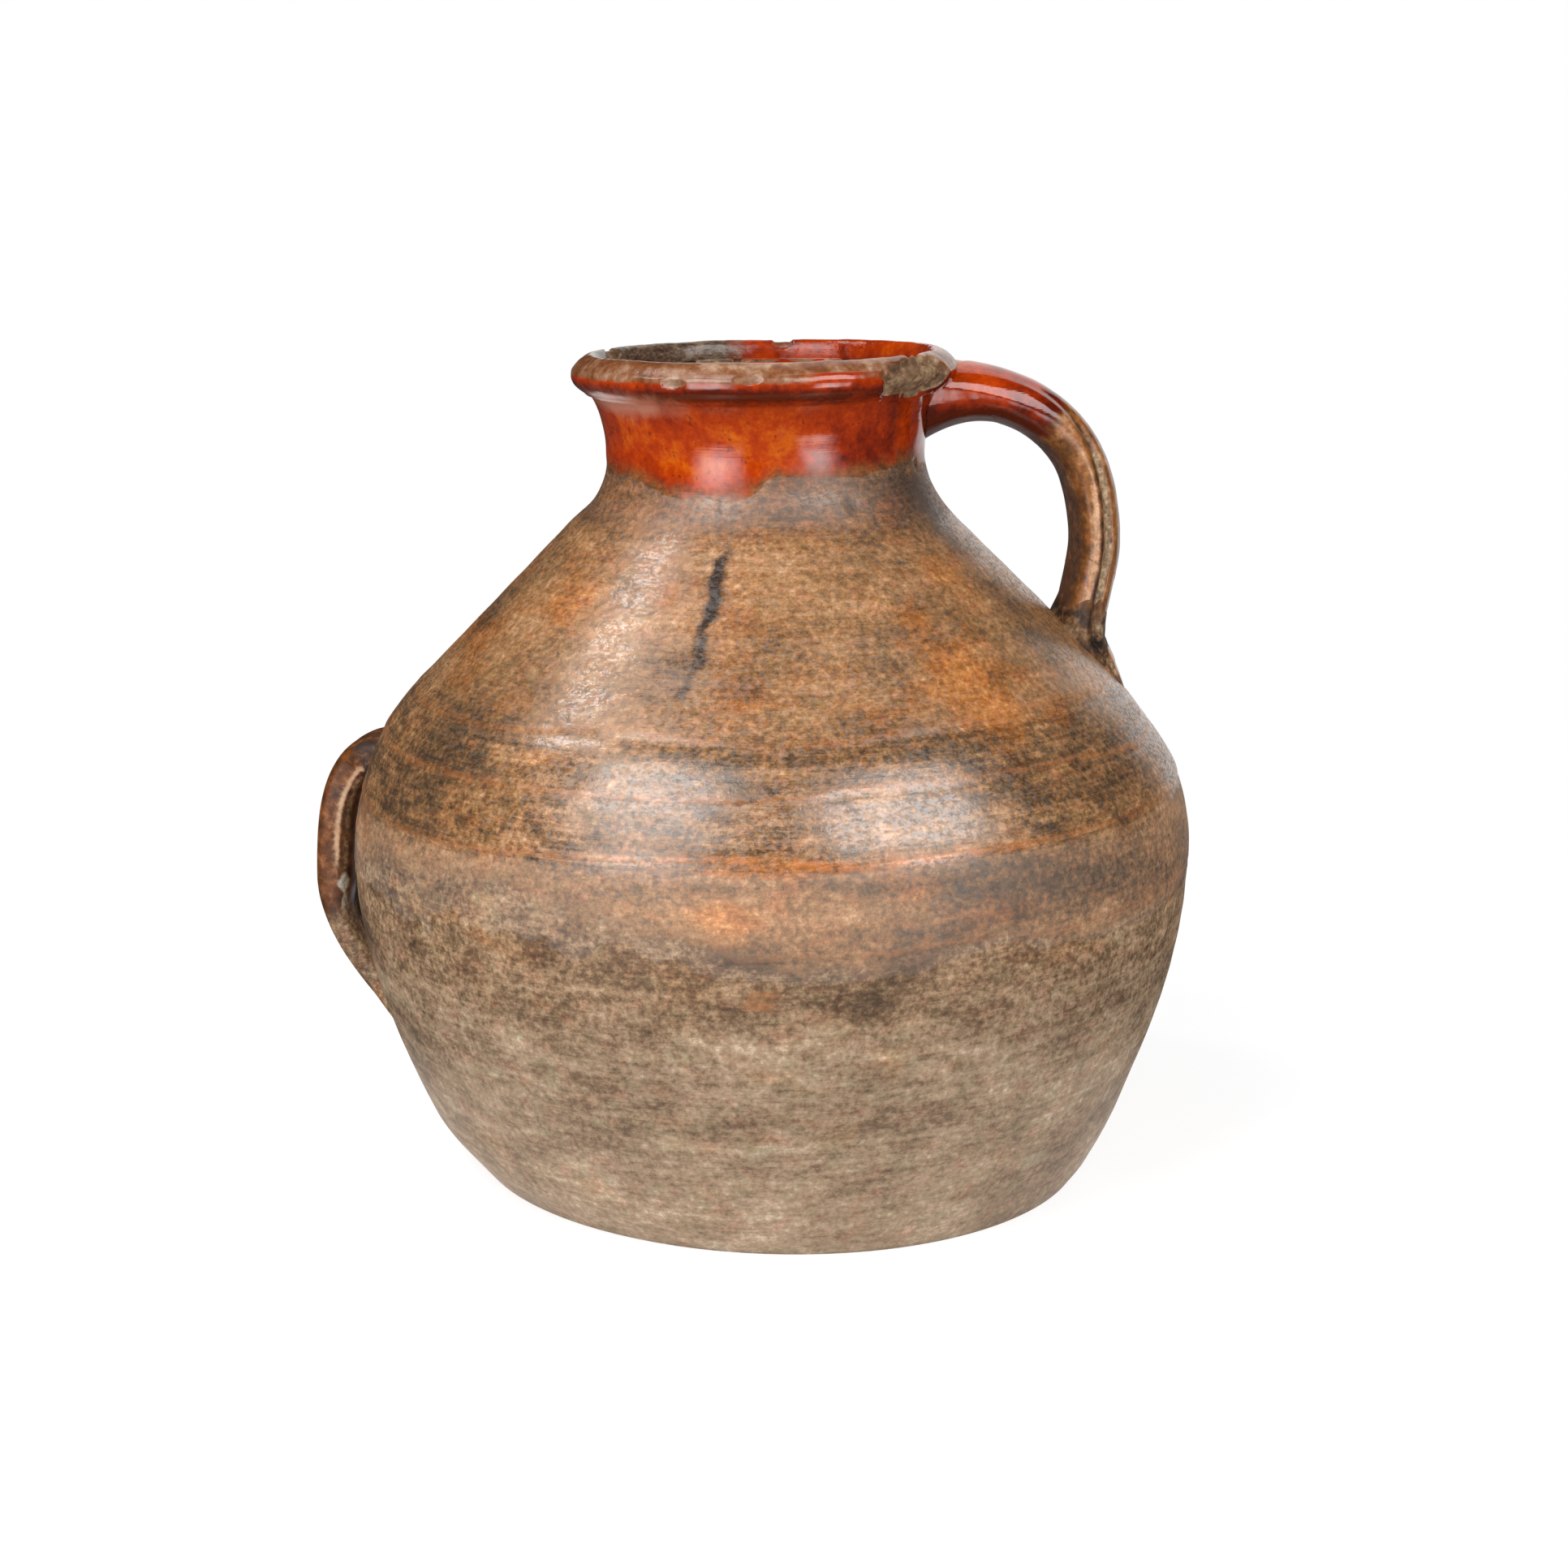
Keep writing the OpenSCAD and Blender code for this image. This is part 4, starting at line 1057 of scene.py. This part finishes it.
# %% [markdown]
# ### Dark slip
# The slip was brushed on thin and has worn in grains: dark ones where it is whole, tan and
# orange ones where the clay shows through. Hands have polished it to a dull shine, which
# makes the soft windows appear in it.

# %% Dark slip
slip = Finish("dark_slip")
base, streak, grain = slip_look(slip)
blot = slip.noise(6, 4, 0.7, flat=2, shift=8.8)
base = slip.mixed(slip.math("MULTIPLY", slip.mask("crest"), slip.between(blot, 0.36, 0.56)), base,
                  tone(200, 120, 60))
base = slip.laid(base, tone(50, 34, 23), slip.mask("run"), slip.noise(2.5, 3, 0.7, shift=1.2), 0.4)
under, under_streak, _ = clay_look(slip)
gone = slip.sum(-1.25, (slip.mask("gone"), 1.0), (blot, 0.9), (grain, 1.0),
                (slip.noise(22, 4, 0.6, flat=2, shift=4.4), 1.2))
base = slip.mixed(slip.between(gone, 0.1, 0.55), base, under)
scratches = slip.noise(70, 4, 0.7, flat=90, shift=3.3)
slip_bump = slip.bump(scratches, 0.03, slip.bump(grain, 0.07))
spots = slip.between(slip.noise(2, 4, 0.8, flat=2, shift=6.6), 0.45, 0.58)
gloss = slip.sum(0.21, (slip.mask("belly"), -0.04), (spots, 0.24), (slip.between(streak, -0.06, 0.08), 0.08),
                 (slip.mask("gone"), 0.1), (slip.mask("matt"), 0.3))
dark_slip = slip.done(base, gloss, slip_bump, 1.9)

# %% [markdown]
# ### Red glaze
# A lead glaze over red clay is orange where it is thin and dark red where it pools. It is
# as glossy as glass, with dark specks of iron. Towards its end it thins out and the brown
# of the slip shows through, and on the lip it is rubbed to brown. On the inner side of the handle it is
# darkened as painted shade, and a pale pink patch on the band at the left is a painted reflection.

# %% Red glaze
glaze = Finish("red_glaze")
blot = glaze.noise(7, 4, 0.66, flat=0.8, shift=9.7)
base = glaze_look(glaze)
# A pale pink patch on the band at the left, where the soft mask lies: a painted reflection.
base = glaze.laid(base, tone(190, 122, 98), glaze.mask("soft"), blot, 0.4)


def fading(f, mask):
    return f.between(f.sum(0.0, (f.mask(mask), 1.0), (blot, 1.1)), 0.8, 1.5)


base = glaze.mixed(fading(glaze, "ending"), base, slip_look(glaze)[0])
base = glaze.mixed(fading(glaze, "worn"), base, lip_look(glaze))
base = glaze.mixed(fading(glaze, "bare"), base, strap_look(glaze))
glaze_bump = glaze.bump(glaze.noise(11, 3, 0.5, shift=9.1), 0.12)
glaze_bump = glaze.bump(glaze.noise(60, 4, 0.6, flat=30, shift=9.4), 0.08, glaze_bump)
gloss = glaze.sum(0.08, (glaze.mask("ending"), 0.3), (glaze.mask("lining"), 0.2), (glaze.mask("soft"), 0.22),
                  (glaze.mask("worn"), 0.18), (glaze.mask("bare"), 0.2), (glaze.mask("below"), 0.5),
                  (glaze.mask("groove"), 0.3))
red_glaze = glaze.done(base, gloss, glaze_bump, 1.6)

# %% [markdown]
# ### Strap clay and joint clay
# The straps were handled most: the slip on them is worn to an amber brown on the ribs and
# left pale and dirty in the grooves. The clay at the joints was never smoothed, and dirt
# has stayed in it. The pale line along a ridge is partly a painted highlight, the pale inner strip of the
# tipping handle is painted light, and the inner sides of the straps are darkened as painted shade.

# %% Strap clay and joint clay
strap = Finish("strap_clay")
grain = strap.noise(3, 4, 0.7, shift=3.9)
gloss = strap.sum(0.26, (strap.mask("below"), 0.5), (strap.mask("groove"), 0.3),
                  (strap.mask("crease"), 0.4))
strap_clay = strap.done(strap_look(strap), gloss, strap.bump(grain, 0.08), 1.6)
joint = Finish("joint_clay")
blot = joint.noise(8, 4, 0.66, shift=1.3)
grain = joint.noise(3, 4, 0.7, shift=1.6)
light = joint.sum(-1.24, (blot, 2.2), (grain, 1.2), (joint.mask("crease"), -0.3),
                  (joint.mask("pale"), 0.45))
base = joint.ramp(light, (0.15, tone(34, 25, 17)), (0.42, tone(82, 52, 28)),
                    (0.62, tone(122, 88, 54)), (0.95, tone(164, 152, 124)))
base = joint.mixed(joint.mask("blend"), base, strap_look(joint))
joint_clay = joint.done(base, 0.6, joint.bump(grain, 0.14, joint.bump(blot, 0.5)), 1.45)

for piece, material in ((body, bare_clay), (slip_coat, dark_slip), (neck_glaze, red_glaze),
                        (inside_glaze, red_glaze), (strap_handle, strap_clay),
                        (handle_glaze, red_glaze), (handle_root_clay, joint_clay),
                        (handle_foot_clay, joint_clay), (tipping_handle, strap_clay),
                        (tipping_top_clay, strap_clay), (tipping_foot_clay, joint_clay)):
    piece.data.materials.append(material)

# %% [markdown]
# ## Floor and light
# A jug is photographed on a white sweep between two large soft windows. The floor is
# plain and pale. Where it is seen, or mirrored in the glaze, it is white but for the jug's
# shadow, and the background beyond it is the same white.

# %% Floor and background
bpy.ops.mesh.primitive_grid_add(x_subdivisions=8, y_subdivisions=8, size=8)
floor = bpy.context.object
floor.name = "floor"


def seen_or_mirrored(add, link):
    """1 for what the camera sees, straight or through a mirror or glass, and 0 otherwise."""
    path = add("ShaderNodeLightPath")
    total = path.outputs["Is Camera Ray"]
    for name in ("Is Glossy Ray", "Is Transmission Ray"):
        larger = add("ShaderNodeMath")
        larger.operation = "MAXIMUM"
        link(total, larger.inputs[0])
        link(path.outputs[name], larger.inputs[1])
        total = larger.outputs[0]
    return total


paper = bpy.data.materials.new("white_paper")
paper.use_nodes = True
paper.node_tree.nodes.clear()
add, link = paper.node_tree.nodes.new, paper.node_tree.links.new
plain, lit, glow = (add("ShaderNode" + k) for k in ("BsdfDiffuse", "BsdfDiffuse", "Emission"))
plain.inputs["Color"].default_value = (0.88, 0.88, 0.88, 1)
near_jug = add("ShaderNodeMapRange")
near_jug.interpolation_type = "SMOOTHSTEP"
place, away = add("ShaderNodeTexCoord"), add("ShaderNodeVectorMath")
away.operation = "LENGTH"
link(place.outputs["Object"], away.inputs[0])
link(away.outputs["Value"], near_jug.inputs["Value"])
for key, value in (("From Min", 0.2), ("From Max", 0.75), ("To Min", 1.0), ("To Max", 0.0)):
    near_jug.inputs[key].default_value = value
shadow_part = add("ShaderNodeMixRGB")
link(near_jug.outputs[0], shadow_part.inputs[0])
shadow_part.inputs[1].default_value = (0, 0, 0, 1)
shadow_part.inputs[2].default_value = (0.4, 0.4, 0.4, 1)
link(shadow_part.outputs[0], lit.inputs["Color"])
own_part = add("ShaderNodeMapRange")
link(near_jug.outputs[0], own_part.inputs["Value"])
own_part.inputs["To Min"].default_value = 1.0
own_part.inputs["To Max"].default_value = 0.76
link(own_part.outputs[0], glow.inputs["Strength"])
both, choice = add("ShaderNodeAddShader"), add("ShaderNodeMixShader")
link(lit.outputs[0], both.inputs[0])
link(glow.outputs[0], both.inputs[1])
link(seen_or_mirrored(add, link), choice.inputs[0])
link(plain.outputs[0], choice.inputs[1])
link(both.outputs[0], choice.inputs[2])
link(choice.outputs[0], add("ShaderNodeOutputMaterial").inputs["Surface"])
floor.data.materials.append(paper)

world = bpy.data.worlds.new("studio")
bpy.context.scene.world = world
world.use_nodes = True
world.node_tree.nodes.clear()
add, link = world.node_tree.nodes.new, world.node_tree.links.new
sky, level = add("ShaderNodeBackground"), add("ShaderNodeMapRange")
sky.inputs["Color"].default_value = (1, 1, 1, 1)
link(seen_or_mirrored(add, link), level.inputs["Value"])
level.inputs["To Min"].default_value = 0.24
level.inputs["To Max"].default_value = 1.0
link(level.outputs[0], sky.inputs["Strength"])
link(sky.outputs[0], add("ShaderNodeOutputWorld").inputs["Surface"])

# %% [markdown]
# A glossy jug mirrors the room it stands in. Photographers hang a dark cloth behind the
# camera, so that the front of the glaze keeps its colour and doesn't mirror a white room.
# The cloth is a bent sheet that only reflections see. It also lies on the table in front.

# %% The dark cloth behind the camera
def cloth_rows():
    rows = []
    for reach, up in [(0.16, 0.003), (0.42, 0.004), (1.0, 0.005), (1.9, 0.01), (2.2, 0.1), (2.3, 0.6),
                      (2.3, 1.3), (2.2, 2.0), (1.7, 2.6), (0.9, 2.9), (0.05, 3.0)]:
        a = np.radians(np.linspace(-228 if reach < 0.9 else -262, 48, 49))
        rows.append(np.stack([reach * np.cos(a), reach * np.sin(a), np.full(49, up)], -1))
    return np.array(rows)


sheet_points = cloth_rows()
count, columns = sheet_points.shape[:2]
faces = [(i * columns + j, i * columns + j + 1, (i + 1) * columns + j + 1, (i + 1) * columns + j)
         for i in range(count - 1) for j in range(columns - 1)]
mesh = bpy.data.meshes.new("dark_cloth")
mesh.from_pydata(sheet_points.reshape(-1, 3).tolist(), [], faces)
dark_cloth = bpy.data.objects.new("dark_cloth", mesh)
bpy.context.scene.collection.objects.link(dark_cloth)
for ray in ("camera", "diffuse", "shadow", "transmission"):
    setattr(dark_cloth, "visible_" + ray, False)
felt = bpy.data.materials.new("dark_felt")
felt.use_nodes = True
felt.node_tree.nodes["Principled BSDF"].inputs["Base Color"].default_value = (0.06, 0.06, 0.06, 1)
felt.node_tree.nodes["Principled BSDF"].inputs["Roughness"].default_value = 1.0
mesh.materials.append(felt)

# %% The windows
AIM = Vector((0, 0, 0.13))


def window(name, azimuth, elevation, away, wide, tall, radiance):
    """A large soft light, at this direction from the jug, that shines on it."""
    a, e = np.radians([azimuth, elevation])
    way = Vector((np.cos(a) * np.cos(e), np.sin(a) * np.cos(e), np.sin(e)))
    light = bpy.data.lights.new(name, "AREA")
    light.shape, light.size, light.size_y = "RECTANGLE", wide, tall
    light.energy = radiance * np.pi * wide * tall
    lamp = bpy.data.objects.new(name, light)
    lamp.location = AIM + way * away
    lamp.rotation_euler = way.to_track_quat("Z", "Y").to_euler()
    bpy.context.scene.collection.objects.link(lamp)
    return lamp


window("left_window", -131, 39, 1.38, 0.85, 1.06, 5.3)
window("right_window", -50, 40.5, 1.38, 0.93, 0.66, 5.0)
window("high_window", 171, 54, 1.47, 0.15, 0.4, 12)

# %% [markdown]
# Two white cards stand lower, in front of the table. They are what the upright glaze of the
# neck mirrors as two pale spots. Their light fades towards their edges.

# %% Two white cards
def card(name, azimuth, elevation, away, wide, tall, strength):
    bpy.ops.mesh.primitive_grid_add(x_subdivisions=4, y_subdivisions=4, size=1)
    sheet = bpy.context.object
    sheet.name = name
    a, e = np.radians([azimuth, elevation])
    way = Vector((np.cos(a) * np.cos(e), np.sin(a) * np.cos(e), np.sin(e)))
    sheet.location = Vector((0, 0, 0.235)) + way * away
    sheet.rotation_euler = way.to_track_quat("Z", "Y").to_euler()
    sheet.scale = (wide, tall, 1)
    for ray in ("camera", "diffuse", "shadow", "transmission"):
        setattr(sheet, "visible_" + ray, False)
    white = Finish(name)
    parts = white.add("SeparateXYZ", {0: white.add("TexCoord").outputs["Object"]})
    fade = 1.0
    for side in parts.outputs[:2]:
        near = white.between(white.math("ABSOLUTE", side), 0.5, 0.05)
        fade = white.math("MULTIPLY", near, fade)
    glow = white.add("Emission", {"Strength": white.math("MULTIPLY", fade, strength)})
    white.tree.links.new(glow.outputs[0], white.add("OutputMaterial").inputs["Surface"])
    sheet.data.materials.append(white.material)
    return sheet


card("left_card", -123, -4, 0.6, 0.5, 0.58, 5.6)
card("right_card", -53, -8, 0.6, 0.36, 0.5, 6.0)

# %% [markdown]
# The photograph was taken from a little above the lip, with the camera tilted down and
# turned very slightly about its own axis.

# %% Camera
lens = bpy.data.cameras.new("camera")
lens.sensor_width = 36
lens.lens = 3401 / 1932 * 36
camera = bpy.data.objects.new("camera", lens)
bpy.context.scene.collection.objects.link(camera)
camera.matrix_world = (Matrix.Translation((-0.0015, -0.87108, 0.3185))
                       @ Matrix.Rotation(np.radians(77.226), 4, "X")
                       @ Matrix.Rotation(np.radians(1.09), 4, "Z"))
bpy.context.scene.camera = camera
bpy.context.scene.view_settings.view_transform = "Standard"
